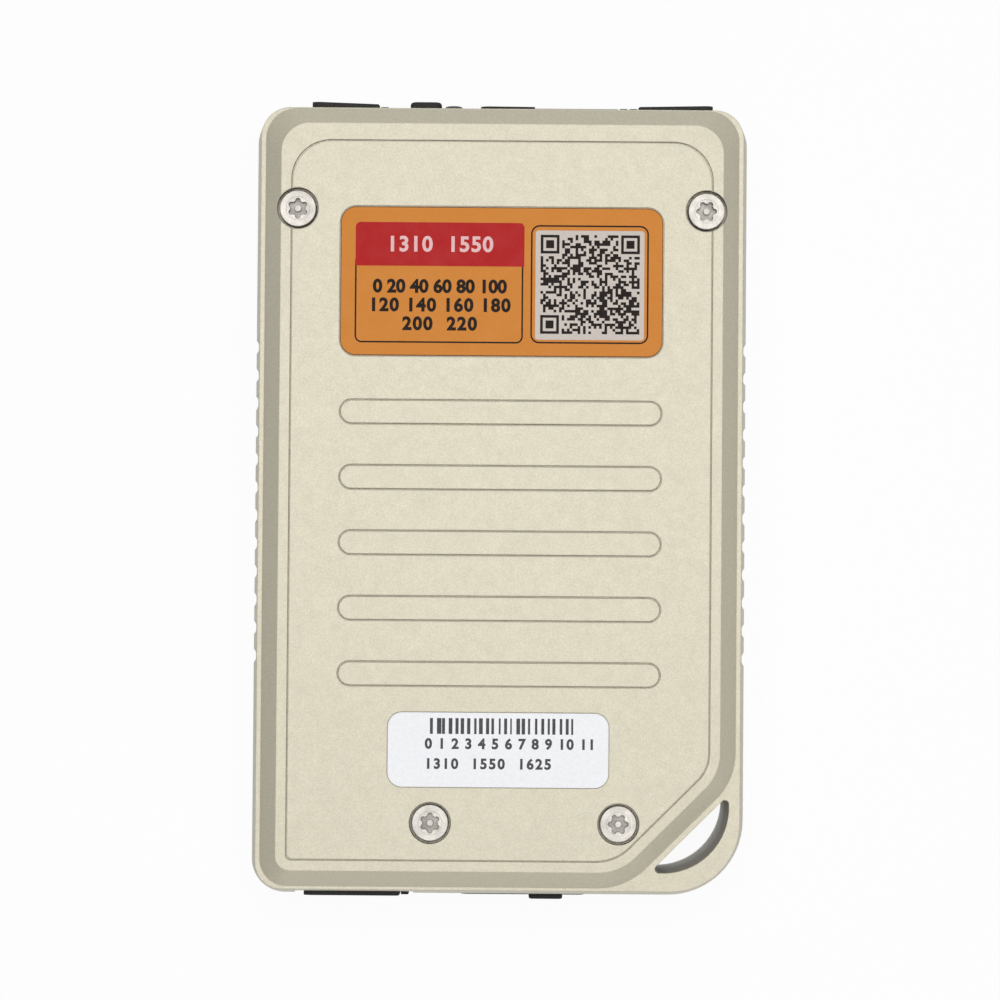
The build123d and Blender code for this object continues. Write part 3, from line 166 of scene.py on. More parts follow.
# Finishes. Grain, relief and edge sizes are in metres; grain shows in colour, gloss and relief
finishes = {
    "champagne_paint": {
        "dark": (0.447, 0.416, 0.322), "colour": (0.487, 0.456, 0.356), "light": (0.527, 0.496, 0.39),
        "grain": 0.00022, "spread": 0.16, "metal": 0.15,
        "gloss": (0.42, 0.46), "relief": 0.00002, "edge": 0.0002, "shine": 0.25,
    },
    "screw_steel": {
        "dark": (0.42, 0.392, 0.362), "colour": (0.47, 0.44, 0.405), "light": (0.52, 0.487, 0.45),
        "grain": 0.0004, "spread": 0.2, "metal": 1.0,
        "gloss": (0.34, 0.42), "relief": 0.00001, "edge": 0.00012,
    },
    "screw_head": {
        "dark": (0.28, 0.265, 0.243), "colour": (0.315, 0.298, 0.274), "light": (0.35, 0.331, 0.305),
        "grain": 0.0003, "spread": 0.2, "metal": 1.0,
        "gloss": (0.5, 0.6), "relief": 0.00001, "edge": 0.00008,
        # painted shade inside the drive of each screw head: low height, high height, how dark at the
        # low one
        "recess": (0.0288, 0.02955, 0.62),
    },
    "insert_brass": {
        "dark": (0.52, 0.36, 0.12), "colour": (0.68, 0.5, 0.2), "light": (0.8, 0.62, 0.3),
        "grain": 0.0005, "spread": 0.2, "metal": 1.0,
        "gloss": (0.24, 0.36), "relief": 0.00001, "edge": 0.0,
    },
    "black_rubber": {
        "dark": (0.03, 0.029, 0.029), "colour": (0.039, 0.038, 0.037), "light": (0.05, 0.049, 0.048),
        "grain": 0.0002, "spread": 0.2, "metal": 0.0,
        "gloss": (0.66, 0.8), "relief": 0.00003, "edge": 0.00015, "shine": 0.05,
    },
    "black_plastic": {
        "dark": (0.03, 0.03, 0.031), "colour": (0.038, 0.038, 0.039), "light": (0.047, 0.047, 0.048),
        "grain": 0.00025, "spread": 0.2, "metal": 0.0,
        "gloss": (0.58, 0.72), "relief": 0.00002, "edge": 0.0001, "shine": 0.05,
    },
    "cover_glass": {
        "dark": (0.006, 0.006, 0.007), "colour": (0.008, 0.008, 0.009), "light": (0.011, 0.011, 0.012),
        "grain": 0.02, "spread": 0.3, "metal": 0.0,
        "gloss": (0.03, 0.07), "relief": 0.0, "edge": 0.0,
    },
    "seal_foam": {
        "dark": (0.012, 0.012, 0.012), "colour": (0.02, 0.02, 0.02), "light": (0.034, 0.034, 0.034),
        "grain": 0.0003, "spread": 0.3, "metal": 0.0,
        "gloss": (0.8, 0.95), "relief": 0.00005, "edge": 0.0,
    },
    "display_dark": {
        "dark": (0.01, 0.012, 0.015), "colour": (0.014, 0.016, 0.02), "light": (0.02, 0.022, 0.028),
        "grain": 0.01, "spread": 0.3, "metal": 0.0,
        "gloss": (0.12, 0.2), "relief": 0.0, "edge": 0.0,
    },
    "board_green": {
        "dark": (0.006, 0.07, 0.03), "colour": (0.012, 0.12, 0.05), "light": (0.03, 0.2, 0.09),
        "grain": 0.0012, "spread": 0.12, "metal": 0.0,
        "gloss": (0.25, 0.38), "relief": 0.00002, "edge": 0.0,
    },
    "tinned_steel": {
        "dark": (0.5, 0.5, 0.5), "colour": (0.66, 0.66, 0.66), "light": (0.78, 0.78, 0.78),
        "grain": 0.0008, "spread": 0.25, "metal": 1.0,
        "gloss": (0.28, 0.45), "relief": 0.00001, "edge": 0.0001,
    },
    "module_alloy": {
        "dark": (0.48, 0.48, 0.49), "colour": (0.58, 0.58, 0.6), "light": (0.68, 0.68, 0.7),
        "grain": 0.0003, "spread": 0.2, "metal": 1.0,
        "gloss": (0.42, 0.56), "relief": 0.00002, "edge": 0.0002,
    },
    "tray_plastic": {
        "dark": (0.64, 0.64, 0.62), "colour": (0.7, 0.7, 0.68), "light": (0.76, 0.76, 0.74),
        "grain": 0.0005, "spread": 0.3, "metal": 0.0,
        "gloss": (0.45, 0.6), "relief": 0.00002, "edge": 0.0001,
    },
    "fibre_yellow": {
        "dark": (0.6, 0.42, 0.02), "colour": (0.78, 0.58, 0.03), "light": (0.88, 0.7, 0.08),
        "grain": 0.0009, "spread": 0.2, "metal": 0.0,
        "gloss": (0.3, 0.42), "relief": 0.0001, "edge": 0.0,
    },
    "adapter_green": {
        "dark": (0.014, 0.22, 0.07), "colour": (0.022, 0.3, 0.1), "light": (0.04, 0.36, 0.14),
        "grain": 0.0004, "spread": 0.25, "metal": 0.0,
        "gloss": (0.32, 0.44), "relief": 0.00001, "edge": 0.0001,
    },
    "sleeve_ceramic": {
        "dark": (0.8, 0.79, 0.76), "colour": (0.86, 0.85, 0.82), "light": (0.9, 0.89, 0.87),
        "grain": 0.0004, "spread": 0.3, "metal": 0.0,
        "gloss": (0.14, 0.22), "relief": 0.00001, "edge": 0.0,
    },
    "receptacle_steel": {
        "dark": (0.55, 0.55, 0.56), "colour": (0.68, 0.68, 0.69), "light": (0.78, 0.78, 0.79),
        "grain": 0.0005, "spread": 0.25, "metal": 1.0,
        "gloss": (0.14, 0.26), "relief": 0.00001, "edge": 0.0001,
    },
    "lens_clear": {
        "dark": (0.03, 0.03, 0.032), "colour": (0.04, 0.04, 0.042), "light": (0.052, 0.052, 0.054),
        "grain": 0.001, "spread": 0.3, "metal": 0.0,
        "gloss": (0.08, 0.16), "relief": 0.00001, "edge": 0.0,
    },
    "led_body": {
        "dark": (0.8, 0.78, 0.66), "colour": (0.88, 0.86, 0.74), "light": (0.92, 0.9, 0.8),
        "grain": 0.0005, "spread": 0.3, "metal": 0.0,
        "gloss": (0.2, 0.3), "relief": 0.00001, "edge": 0.0,
    },
    "battery_wrap": {
        "dark": (0.2, 0.21, 0.24), "colour": (0.26, 0.27, 0.31), "light": (0.32, 0.33, 0.37),
        "grain": 0.004, "spread": 0.3, "metal": 0.2,
        "gloss": (0.25, 0.4), "relief": 0.00008, "edge": 0.0,
    },
    "orange_film": {
        "dark": (0.604, 0.216, 0.029), "colour": (0.618, 0.223, 0.031), "light": (0.632, 0.231, 0.035),
        "grain": 0.0005, "spread": 0.25, "metal": 0.0,
        "gloss": (0.5, 0.6), "relief": 0.000006, "edge": 0.0001, "shine": 0.16,
    },
    "white_film": {
        "dark": (0.86, 0.865, 0.89), "colour": (0.90, 0.905, 0.93), "light": (0.93, 0.935, 0.955),
        "grain": 0.0005, "spread": 0.25, "metal": 0.0,
        "gloss": (0.5, 0.6), "relief": 0.000006, "edge": 0.0001, "shine": 0.2,
    },
    "red_print": {
        "dark": (0.405, 0.005, 0.006), "colour": (0.42, 0.006, 0.007), "light": (0.435, 0.008, 0.009),
        "grain": 0.0005, "spread": 0.25, "metal": 0.0,
        "gloss": (0.5, 0.6), "relief": 0.000006, "edge": 0.0, "shine": 0.16,
    },
    "pale_print": {
        "dark": (0.58, 0.52, 0.47), "colour": (0.60, 0.54, 0.49), "light": (0.62, 0.56, 0.51),
        "grain": 0.0005, "spread": 0.25, "metal": 0.0,
        "gloss": (0.5, 0.6), "relief": 0.000006, "edge": 0.0, "shine": 0.16,
    },
    "pink_print": {
        "dark": (0.74, 0.48, 0.48), "colour": (0.77, 0.5, 0.5), "light": (0.8, 0.53, 0.53),
        "grain": 0.0005, "spread": 0.25, "metal": 0.0,
        "gloss": (0.5, 0.6), "relief": 0.000006, "edge": 0.0, "shine": 0.16,
    },
    "black_print": {
        "dark": (0.008, 0.005, 0.004), "colour": (0.011, 0.007, 0.005), "light": (0.016, 0.010, 0.008),
        "grain": 0.0003, "spread": 0.25, "metal": 0.0,
        "gloss": (0.5, 0.6), "relief": 0.000006, "edge": 0.0, "shine": 0.08,
    },
    # brown used only as painted shadow along the orange label's edge, where the pocket gap is in shade
    "edge_shadow_paint": {
        "dark": (0.09, 0.045, 0.02), "colour": (0.11, 0.055, 0.025), "light": (0.13, 0.066, 0.03),
        "grain": 0.0003, "spread": 0.25, "metal": 0.0,
        "gloss": (0.5, 0.6), "relief": 0.000006, "edge": 0.0, "shine": 0.12,
    },
    "grey_print": {
        "dark": (0.05, 0.05, 0.055), "colour": (0.068, 0.068, 0.074), "light": (0.095, 0.095, 0.1),
        "grain": 0.0003, "spread": 0.25, "metal": 0.0,
        "gloss": (0.5, 0.6), "relief": 0.000006, "edge": 0.0, "shine": 0.12,
    },
}


surface = {
    "grainDetail": 2.0,
    "patchSize": 0.15,  # share of the grain's scale
    "patchDetail": 3.0,
    "patchRange": (0.3, 0.7),
    "reliefStrength": 0.6,
    "edgeSamples": 4,
    "plainShine": 0.5,
}


def makeFinish(name, look):
    material = bpy.data.materials.new(name)
    material.use_nodes = True
    nodes = material.node_tree.nodes
    links = material.node_tree.links
    shader = nodes["Principled BSDF"]
    shader.inputs["Metallic"].default_value = look["metal"]
    shader.inputs["Specular IOR Level"].default_value = look.get("shine", surface["plainShine"])
    coords = nodes.new("ShaderNodeTexCoord")

    grain = nodes.new("ShaderNodeTexNoise")
    grain.inputs["Scale"].default_value = 1.0 / look["grain"]
    grain.inputs["Detail"].default_value = surface["grainDetail"]
    links.new(coords.outputs["Object"], grain.inputs["Vector"])
    tint = nodes.new("ShaderNodeValToRGB")
    tint.color_ramp.elements[0].position = 0.5 - look["spread"]
    tint.color_ramp.elements[0].color = (*look["dark"], 1.0)
    tint.color_ramp.elements[1].position = 0.5 + look["spread"]
    tint.color_ramp.elements[1].color = (*look["light"], 1.0)
    middle = tint.color_ramp.elements.new(0.5)
    middle.color = (*look["colour"], 1.0)
    links.new(grain.outputs["Fac"], tint.inputs["Fac"])
    colour = tint.outputs["Color"]
    if "recess" in look:
        # painted shade: low height, high height, how dark at the low one; darkens the colour down
        # inside the drive of a screw head
        apart = nodes.new("ShaderNodeSeparateXYZ")
        links.new(coords.outputs["Object"], apart.inputs["Vector"])
        recessShadeAmount = nodes.new("ShaderNodeMapRange")
        recessShadeAmount.inputs["From Min"].default_value = look["recess"][0]
        recessShadeAmount.inputs["From Max"].default_value = look["recess"][1]
        recessShadeAmount.inputs["To Min"].default_value = look["recess"][2]
        recessShadeAmount.inputs["To Max"].default_value = 1.0
        links.new(apart.outputs["Z"], recessShadeAmount.inputs["Value"])
        recessShadeMix = nodes.new("ShaderNodeMix")
        recessShadeMix.data_type = "RGBA"
        recessShadeMix.blend_type = "MULTIPLY"
        recessShadeMix.inputs["Factor"].default_value = 1.0
        # sockets 6, 7 and 2 are the colour ones
        links.new(colour, recessShadeMix.inputs[6])
        links.new(recessShadeAmount.outputs["Result"], recessShadeMix.inputs[7])
        colour = recessShadeMix.outputs[2]
    links.new(colour, shader.inputs["Base Color"])

    patches = nodes.new("ShaderNodeTexNoise")
    patches.inputs["Scale"].default_value = surface["patchSize"] / look["grain"]
    patches.inputs["Detail"].default_value = surface["patchDetail"]
    links.new(coords.outputs["Object"], patches.inputs["Vector"])
    gloss = nodes.new("ShaderNodeMapRange")
    gloss.inputs["From Min"].default_value = surface["patchRange"][0]
    gloss.inputs["From Max"].default_value = surface["patchRange"][1]
    gloss.inputs["To Min"].default_value = look["gloss"][0]
    gloss.inputs["To Max"].default_value = look["gloss"][1]
    links.new(patches.outputs["Fac"], gloss.inputs["Value"])
    links.new(gloss.outputs["Result"], shader.inputs["Roughness"])

    normal = None
    if look["edge"]:
        softEdge = nodes.new("ShaderNodeBevel")
        softEdge.samples = surface["edgeSamples"]
        softEdge.inputs["Radius"].default_value = look["edge"]
        normal = softEdge.outputs["Normal"]
    if look["relief"]:
        relief = nodes.new("ShaderNodeBump")
        relief.inputs["Strength"].default_value = surface["reliefStrength"]
        relief.inputs["Distance"].default_value = look["relief"]
        links.new(grain.outputs["Fac"], relief.inputs["Height"])
        if normal:
            links.new(normal, relief.inputs["Normal"])
        normal = relief.outputs["Normal"]
    if normal:
        links.new(normal, shader.inputs["Normal"])
    return material


finish = {name: makeFinish(name, look) for name, look in finishes.items()}
for part in frame["record"]["subparts"]:
    for materialSlot in frame["nodes"][part["node"]].material_slots:
        materialSlot.material = finish[part["material_slot"]]
for materialSlot in frame["nodes"]["case_screws"].material_slots:
    materialSlot.material = finish["screw_head"]
print("finishes made:", len(finish))


# Ink on both labels, in metres. It has a real thickness
ink = {
    "layer": 0.00002,
    "letterSteps": 4,
    "smallestCorner": 0.00001,
    "mergeDistance": 0.000001,
}


def addPiece(name, mesh, material):
    piece = bpy.data.objects.new(name, mesh)
    scene.collection.objects.link(piece)
    mesh.materials.clear()
    mesh.materials.append(material)
    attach(piece, "case")
    return piece


def outlinePoints(left, right, low, high, corner, steps=8):
    # counter-clockwise from the lower left; corner is one radius or four
    radii = corner if isinstance(corner, tuple) else (corner,) * 4
    corners = [
        (left, low, 1, 1, 180),
        (right, low, -1, 1, 270),
        (right, high, -1, -1, 0),
        (left, high, 1, -1, 90),
    ]
    points = []
    for (x, y, inX, inY, start), radius in zip(corners, radii):
        radius = max(radius, ink["smallestCorner"])
        for step in range(steps + 1):
            angle = math.radians(start + 90.0 * step / steps)
            pointX = x + inX * radius + radius * math.cos(angle)
            pointY = y + inY * radius + radius * math.sin(angle)
            points.append((pointX, pointY))
    return points


def plateMesh(name, outline, bottom, top, hole=None):
    # a flat printed area, open in the middle when hole is given
    built = bmesh.new()
    rows = []
    for points, z in ((outline, bottom), (outline, top), (hole, top), (hole, bottom)):
        rows.append([built.verts.new((x, y, z)) for x, y in points] if points else None)
    count = len(outline)
    outerLow, outerTop, innerTop, innerLow = rows
    for i in range(count):
        j = (i + 1) % count
        built.faces.new((outerLow[i], outerLow[j], outerTop[j], outerTop[i]))
        if hole:
            built.faces.new((outerTop[i], outerTop[j], innerTop[j], innerTop[i]))
            built.faces.new((innerTop[i], innerTop[j], innerLow[j], innerLow[i]))
            built.faces.new((innerLow[i], innerLow[j], outerLow[j], outerLow[i]))
    if not hole:
        built.faces.new(outerTop)
        built.faces.new(list(reversed(outerLow)))
    bmesh.ops.recalc_face_normals(built, faces=built.faces)
    mesh = bpy.data.meshes.new(name)
    built.to_mesh(mesh)
    built.free()
    return mesh


def printedNumbers(name, line, style, height, material):
    # a line is its numbers, its place across the back and its letter spacing
    numbers, (x, y), spacing = line
    letters = bpy.data.curves.new(name, "FONT")
    letters.body = numbers
    letters.size = style["size"]
    letters.offset = style["bold"]
    letters.space_character = spacing
    letters.extrude = ink["layer"] / 2
    letters.align_x = style["align"]
    letters.align_y = "CENTER"
    letters.resolution_u = ink["letterSteps"]
    lettersObject = bpy.data.objects.new(name, letters)
    scene.collection.objects.link(lettersObject)
    bpy.context.view_layer.update()
    solid = lettersObject.evaluated_get(bpy.context.evaluated_depsgraph_get())
    mesh = bpy.data.meshes.new_from_object(solid)
    mesh.transform(Matrix.Translation((x, y, height)))
    bpy.data.objects.remove(lettersObject)
    return addPiece(name, mesh, material)


def runTree(name, tree, values, material):
    # evaluates a Geometry Nodes tree and keeps the result as a plain mesh
    holder = bpy.data.objects.new(name + "Holder", bpy.data.meshes.new(name + "Holder"))
    scene.collection.objects.link(holder)
    modifier = holder.modifiers.new(name, "NODES")
    modifier.node_group = tree
    for item in tree.interface.items_tree:
        if item.item_type == "SOCKET" and item.in_out == "INPUT" and item.name in values:
            modifier[item.identifier] = values[item.name]
    bpy.context.view_layer.update()
    made = holder.evaluated_get(bpy.context.evaluated_depsgraph_get())
    mesh = bpy.data.meshes.new_from_object(made)
    holder.modifiers.clear()
    bpy.data.objects.remove(holder)
    return addPiece(name, mesh, material)


def newTree(name, sockets):
    tree = bpy.data.node_groups.new(name, "GeometryNodeTree")
    for socketName, socketType in sockets:
        tree.interface.new_socket(name=socketName, in_out="INPUT", socket_type=socketType)
    tree.interface.new_socket(name="Geometry", in_out="OUTPUT", socket_type="NodeSocketGeometry")
    return tree, tree.nodes.new("NodeGroupInput"), tree.nodes.new("NodeGroupOutput")


def mathNode(tree, operation, first, second):
    node = tree.nodes.new("ShaderNodeMath")
    node.operation = operation
    for socket, value in zip(node.inputs, (first, second)):
        if isinstance(value, (int, float)):
            socket.default_value = value
        elif value is not None:
            tree.links.new(value, socket)
    return node.outputs["Value"]


# Orange label: a red block, two thin frames and a square of made-up cells. Metres on the back;
# boxes are left, right, low, high, and lifts count ink layers
orangePrint = {
    "blockLift": 1.5,
    "headLift": 2.0,
    "labelCorner": 0.0025,
    # inset and width of the painted shadow ring along the label's edge
    "edgeShadowInset": 0.00001,
    "edgeShadowWidth": 0.00012,
    "innerCorner": 0.00005,
    "redBlock": (-0.02346, 0.0036, 0.03715, 0.04415),
    "redCorner": 0.0008,
    "textFrame": (-0.02352, 0.00345, 0.0248, 0.0390),
    "codeFrame": (0.00465, 0.02355, 0.02485, 0.04385),
    "frameCorner": 0.0011,
    "codeFrameCorner": 0.0014,
    "frameLine": 0.00025,
    "codeField": (0.0054, 0.02285, 0.02545, 0.0430),
    "codeFieldCorner": 0.0005,
    "codeMiddle": (0.01416, 0.03435),
    "codeSide": 0.0159,
    "codeCells": 37,
    "codeFill": 0.52,
    "codeSeed": 11,
    "freeCells": 8.0,
    "ringReaches": (3.5, 2.5, 1.5),
    "ringCorner": 0.00002,
}
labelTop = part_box("orange_label")[1].z
layer = ink["layer"]
sink = layer / 2


def frameOutline(box, corner, inset):
    left, right, low, high = box
    inner = max(corner - inset, orangePrint["innerCorner"])
    return outlinePoints(left + inset, right - inset, low + inset, high - inset, inner)


for name, box, corner in (
    ("label_left_frame", orangePrint["textFrame"], orangePrint["frameCorner"]),
    ("label_right_frame", orangePrint["codeFrame"], orangePrint["codeFrameCorner"]),
):
    outer = frameOutline(box, corner, 0.0)
    inner = frameOutline(box, corner, orangePrint["frameLine"])
    mesh = plateMesh(name, outer, labelTop - sink, labelTop + layer, inner)
    addPiece(name, mesh, finish["black_print"])

# Painted shadow: a thin brown ring just inside the label's edge stands in for the shade in the gap
# between the label and its pocket
low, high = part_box("orange_label")
labelBox = (low.x, high.x, low.y, high.y)
corner = orangePrint["labelCorner"]
outer = frameOutline(labelBox, corner + orangePrint["edgeShadowInset"], orangePrint["edgeShadowInset"])
inner = frameOutline(labelBox, corner, orangePrint["edgeShadowWidth"])
mesh = plateMesh("label_edge_painted_shadow", outer, labelTop - sink, labelTop + layer, inner)
addPiece("label_edge_painted_shadow", mesh, finish["edge_shadow_paint"])

left, right, low, high = orangePrint["redBlock"]
redCorners = (0.0, 0.0, orangePrint["redCorner"], orangePrint["redCorner"])
redOutline = outlinePoints(left, right, low, high, redCorners)
blockTop = labelTop + orangePrint["blockLift"] * layer
mesh = plateMesh("label_red_block", redOutline, labelTop - sink, blockTop)
addPiece("label_red_block", mesh, finish["red_print"])

left, right, low, high = orangePrint["codeField"]
fieldOutline = outlinePoints(left, right, low, high, orangePrint["codeFieldCorner"])
mesh = plateMesh("label_code_field", fieldOutline, labelTop - sink, labelTop + layer)
addPiece("label_code_field", mesh, finish["pale_print"])


def buildCodeTree():
    # cells of a square grid kept at random, with three corners left free
    tree, given, result = newTree("codeCells", [
        ("Side", "NodeSocketFloat"), ("Cells", "NodeSocketInt"), ("Thickness", "NodeSocketFloat"),
        ("Fill", "NodeSocketFloat"), ("Free Cells", "NodeSocketFloat"), ("Seed", "NodeSocketInt"),
        ("Place", "NodeSocketVector"), ("Print", "NodeSocketMaterial"),
    ])
    nodes, links = tree.nodes, tree.links
    grid = nodes.new("GeometryNodeMeshGrid")
    rows = mathNode(tree, "ADD", given.outputs["Cells"], 1)
    for socketName in ("Size X", "Size Y"):
        links.new(given.outputs["Side"], grid.inputs[socketName])
    for socketName in ("Vertices X", "Vertices Y"):
        links.new(rows, grid.inputs[socketName])

    # free corners: so many cells in from the two edges that meet there
    position = nodes.new("GeometryNodeInputPosition")
    apart = nodes.new("ShaderNodeSeparateXYZ")
    links.new(position.outputs["Position"], apart.inputs["Vector"])
    cell = mathNode(tree, "DIVIDE", given.outputs["Side"], given.outputs["Cells"])
    halfSide = mathNode(tree, "MULTIPLY", given.outputs["Side"], 0.5)
    freeSide = mathNode(tree, "MULTIPLY", cell, given.outputs["Free Cells"])
    edge = mathNode(tree, "SUBTRACT", halfSide, freeSide)
    farX = mathNode(tree, "GREATER_THAN", mathNode(tree, "ABSOLUTE", apart.outputs["X"], None), edge)
    farY = mathNode(tree, "GREATER_THAN", mathNode(tree, "ABSOLUTE", apart.outputs["Y"], None), edge)
    corner = mathNode(tree, "MULTIPLY", farX, farY)
    rightSide = mathNode(tree, "GREATER_THAN", apart.outputs["X"], 0.0)
    lowSide = mathNode(tree, "LESS_THAN", apart.outputs["Y"], 0.0)
    usedCorner = mathNode(tree, "MULTIPLY", rightSide, lowSide)
    free = mathNode(tree, "GREATER_THAN", mathNode(tree, "SUBTRACT", corner, usedCorner), 0.5)

    chance = nodes.new("FunctionNodeRandomValue")
    chance.data_type = "FLOAT"
    links.new(given.outputs["Seed"], chance.inputs["Seed"])
    empty = mathNode(tree, "GREATER_THAN", chance.outputs[1], given.outputs["Fill"])
    dropped = mathNode(tree, "MAXIMUM", free, empty)
    delete = nodes.new("GeometryNodeDeleteGeometry")
    delete.domain = "FACE"
    links.new(grid.outputs["Mesh"], delete.inputs["Geometry"])
    links.new(dropped, delete.inputs["Selection"])

    # cells get a thickness and a floor of their own, so that they are closed
    raised = nodes.new("GeometryNodeExtrudeMesh")
    raised.mode = "FACES"
    raised.inputs["Individual"].default_value = False
    links.new(delete.outputs["Geometry"], raised.inputs["Mesh"])
    links.new(given.outputs["Thickness"], raised.inputs["Offset Scale"])
    under = nodes.new("GeometryNodeFlipFaces")
    links.new(delete.outputs["Geometry"], under.inputs["Mesh"])
    joined = nodes.new("GeometryNodeJoinGeometry")
    links.new(raised.outputs["Mesh"], joined.inputs["Geometry"])
    links.new(under.outputs["Mesh"], joined.inputs["Geometry"])
    merged = nodes.new("GeometryNodeMergeByDistance")
    merged.inputs["Distance"].default_value = ink["mergeDistance"]
    links.new(joined.outputs["Geometry"], merged.inputs["Geometry"])
    moved = nodes.new("GeometryNodeTransform")
    links.new(merged.outputs["Geometry"], moved.inputs["Geometry"])
    links.new(given.outputs["Place"], moved.inputs["Translation"])
    real = nodes.new("GeometryNodeRealizeInstances")
    links.new(moved.outputs["Geometry"], real.inputs["Geometry"])
    painted = nodes.new("GeometryNodeSetMaterial")
    links.new(real.outputs["Geometry"], painted.inputs["Geometry"])
    links.new(given.outputs["Print"], painted.inputs["Material"])
    links.new(painted.outputs["Geometry"], result.inputs["Geometry"])
    return tree


codeX, codeY = orangePrint["codeMiddle"]
codeTree = buildCodeTree()
runTree("label_code_cells", codeTree, {
    "Side": orangePrint["codeSide"],
    "Cells": orangePrint["codeCells"],
    "Thickness": layer,
    "Fill": orangePrint["codeFill"],
    "Free Cells": orangePrint["freeCells"],
    "Seed": orangePrint["codeSeed"],
    "Place": (codeX, codeY, labelTop + sink),
    "Print": finish["black_print"],
}, finish["black_print"])

cellSize = orangePrint["codeSide"] / orangePrint["codeCells"]
cornerReach = orangePrint["codeSide"] / 2 - orangePrint["ringReaches"][0] * cellSize
for name, signX, signY in (("upper_left", -1, 1), ("upper_right", 1, 1), ("lower_left", -1, -1)):
    middleX = codeX + signX * cornerReach
    middleY = codeY + signY * cornerReach
    squares = []
    for cells in orangePrint["ringReaches"]:
        reach = cells * cellSize
        sides = (middleX - reach, middleX + reach, middleY - reach, middleY + reach)
        squares.append(outlinePoints(*sides, orangePrint["ringCorner"], steps=1))
    low, top = labelTop + sink, blockTop
    ring = plateMesh("label_ring_" + name, squares[0], low, top, squares[1])
    addPiece("label_ring_" + name, ring, finish["black_print"])
    core = plateMesh("label_core_" + name, squares[2], low, top)
    addPiece("label_core_" + name, core, finish["black_print"])

# Plain numbers: wavelengths in the block, a distance scale under it. Each row has its own spacing
orangeNumbers = {
    "headStyle": {"size": 0.0034, "bold": 0.0001, "align": "CENTER"},
    "rowStyle": {"size": 0.0029, "bold": 0.00012, "align": "CENTER"},
    "head": ("1310  1550", (-0.0099, 0.04055), 1.1),
    "rows": [
        ("0 20 40 60 80 100", (-0.0099, 0.0338), 1.0),
        ("120 140 160 180", (-0.0099, 0.0308), 1.14),
        ("200  220", (-0.0099, 0.0278), 1.16),
    ],
}
headHeight = labelTop + orangePrint["headLift"] * layer
printedNumbers("label_head_numbers", orangeNumbers["head"], orangeNumbers["headStyle"], headHeight,
               finish["pink_print"])
for row, line in enumerate(orangeNumbers["rows"], 1):
    printedNumbers(f"label_row_{row}", line, orangeNumbers["rowStyle"], labelTop + sink,
                   finish["black_print"])
print("orange label printed")


# White label: a row of bars and two rows of plain numbers. Metres on the back
whitePrint = {
    "barsLeft": -0.01105,
    "barsRight": 0.01235,
    "barsLow": -0.03776,
    "barsHigh": -0.03523,
    "barCount": 24,
    "thinBar": 0.00022,
    "wideBar": 0.00072,
    "barShift": 0.00016,
    "barSeed": 5,
    "style": {"size": 0.00225, "bold": 0.00009, "align": "LEFT"},
    "rows": [
        ("0 1 2 3 4 5 6 7 8 9 10 11", (-0.0117, -0.0394), 1.17),
        ("1310  1550  1625", (-0.0117, -0.0426), 1.25),
    ],
}
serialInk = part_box("serial_label")[1].z + layer / 4


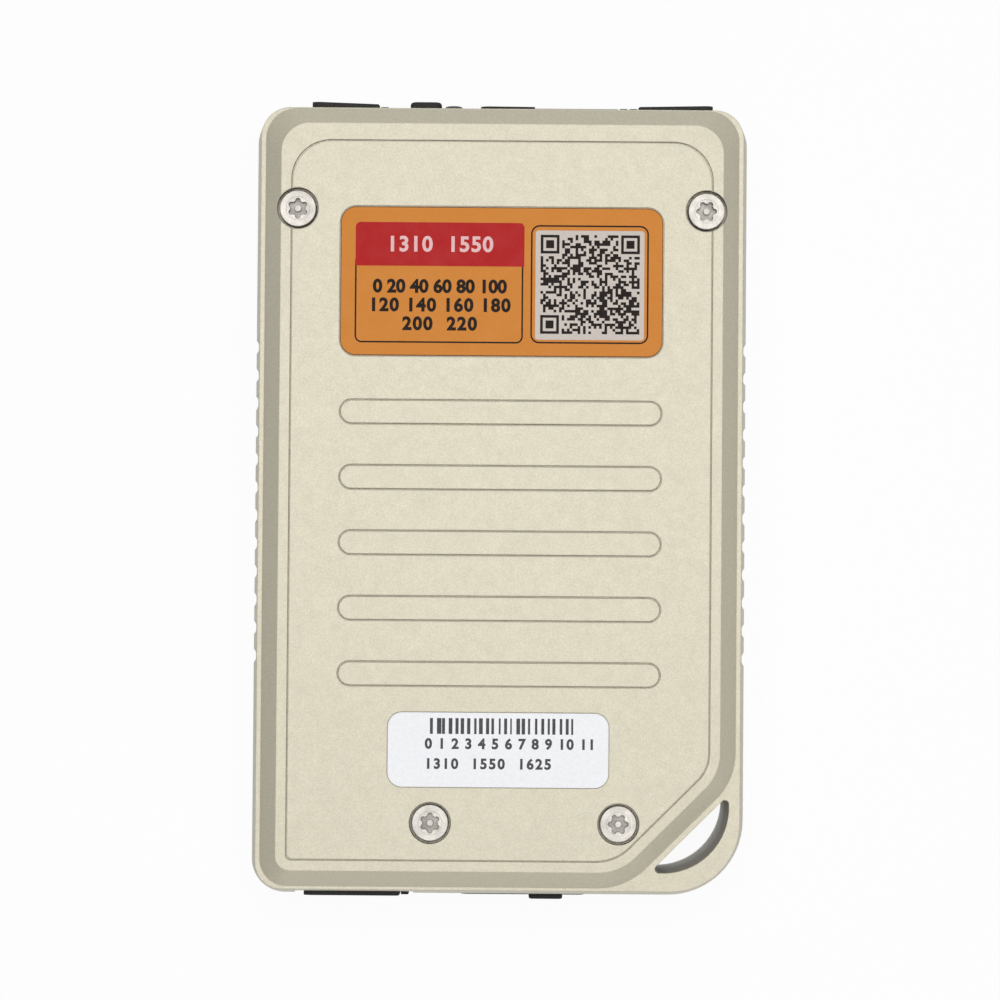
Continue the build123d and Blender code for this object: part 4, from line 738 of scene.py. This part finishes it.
def buildBarTree():
    # upright bars in a row, each with its own width
    tree, given, result = newTree("printedBars", [
        ("Count", "NodeSocketInt"), ("Pitch", "NodeSocketFloat"), ("Thin", "NodeSocketFloat"),
        ("Wide", "NodeSocketFloat"), ("Shift", "NodeSocketVector"), ("Height", "NodeSocketFloat"),
        ("Thickness", "NodeSocketFloat"), ("Seed", "NodeSocketInt"), ("Place", "NodeSocketVector"),
        ("Print", "NodeSocketMaterial"),
    ])
    nodes, links = tree.nodes, tree.links
    step = nodes.new("ShaderNodeCombineXYZ")
    links.new(given.outputs["Pitch"], step.inputs["X"])
    line = nodes.new("GeometryNodeMeshLine")
    links.new(given.outputs["Count"], line.inputs["Count"])
    links.new(given.outputs["Place"], line.inputs["Start Location"])
    links.new(step.outputs["Vector"], line.inputs["Offset"])
    push = nodes.new("FunctionNodeRandomValue")
    push.data_type = "FLOAT_VECTOR"
    back = nodes.new("ShaderNodeVectorMath")
    back.operation = "SCALE"
    back.inputs["Scale"].default_value = -1.0
    links.new(given.outputs["Shift"], back.inputs[0])
    links.new(back.outputs["Vector"], push.inputs[0])
    links.new(given.outputs["Shift"], push.inputs[1])
    links.new(given.outputs["Seed"], push.inputs["Seed"])
    moved = nodes.new("GeometryNodeSetPosition")
    links.new(line.outputs["Mesh"], moved.inputs["Geometry"])
    links.new(push.outputs[0], moved.inputs["Offset"])
    bar = nodes.new("GeometryNodeMeshCube")
    bar.inputs["Size"].default_value = (1.0, 1.0, 1.0)
    width = nodes.new("FunctionNodeRandomValue")
    width.data_type = "FLOAT"
    links.new(given.outputs["Thin"], width.inputs[2])
    links.new(given.outputs["Wide"], width.inputs[3])
    links.new(given.outputs["Seed"], width.inputs["Seed"])
    size = nodes.new("ShaderNodeCombineXYZ")
    links.new(width.outputs[1], size.inputs["X"])
    links.new(given.outputs["Height"], size.inputs["Y"])
    links.new(given.outputs["Thickness"], size.inputs["Z"])
    placed = nodes.new("GeometryNodeInstanceOnPoints")
    links.new(moved.outputs["Geometry"], placed.inputs["Points"])
    links.new(bar.outputs["Mesh"], placed.inputs["Instance"])
    links.new(size.outputs["Vector"], placed.inputs["Scale"])
    real = nodes.new("GeometryNodeRealizeInstances")
    links.new(placed.outputs["Instances"], real.inputs["Geometry"])
    painted = nodes.new("GeometryNodeSetMaterial")
    links.new(real.outputs["Geometry"], painted.inputs["Geometry"])
    links.new(given.outputs["Print"], painted.inputs["Material"])
    links.new(painted.outputs["Geometry"], result.inputs["Geometry"])
    return tree


barPitch = (whitePrint["barsRight"] - whitePrint["barsLeft"]) / whitePrint["barCount"]
barMiddle = (whitePrint["barsLow"] + whitePrint["barsHigh"]) / 2
barTree = buildBarTree()
runTree("serial_bars", barTree, {
    "Count": whitePrint["barCount"],
    "Pitch": barPitch,
    "Thin": whitePrint["thinBar"],
    "Wide": whitePrint["wideBar"],
    "Shift": (whitePrint["barShift"], 0.0, 0.0),
    "Height": whitePrint["barsHigh"] - whitePrint["barsLow"],
    "Thickness": layer,
    "Seed": whitePrint["barSeed"],
    "Place": (whitePrint["barsLeft"] + barPitch / 2, barMiddle, serialInk),
    "Print": finish["grey_print"],
}, finish["grey_print"])
for row, line in enumerate(whitePrint["rows"], 1):
    printedNumbers(f"serial_row_{row}", line, whitePrint["style"], serialInk,
                   finish["grey_print"])
print("white label printed")
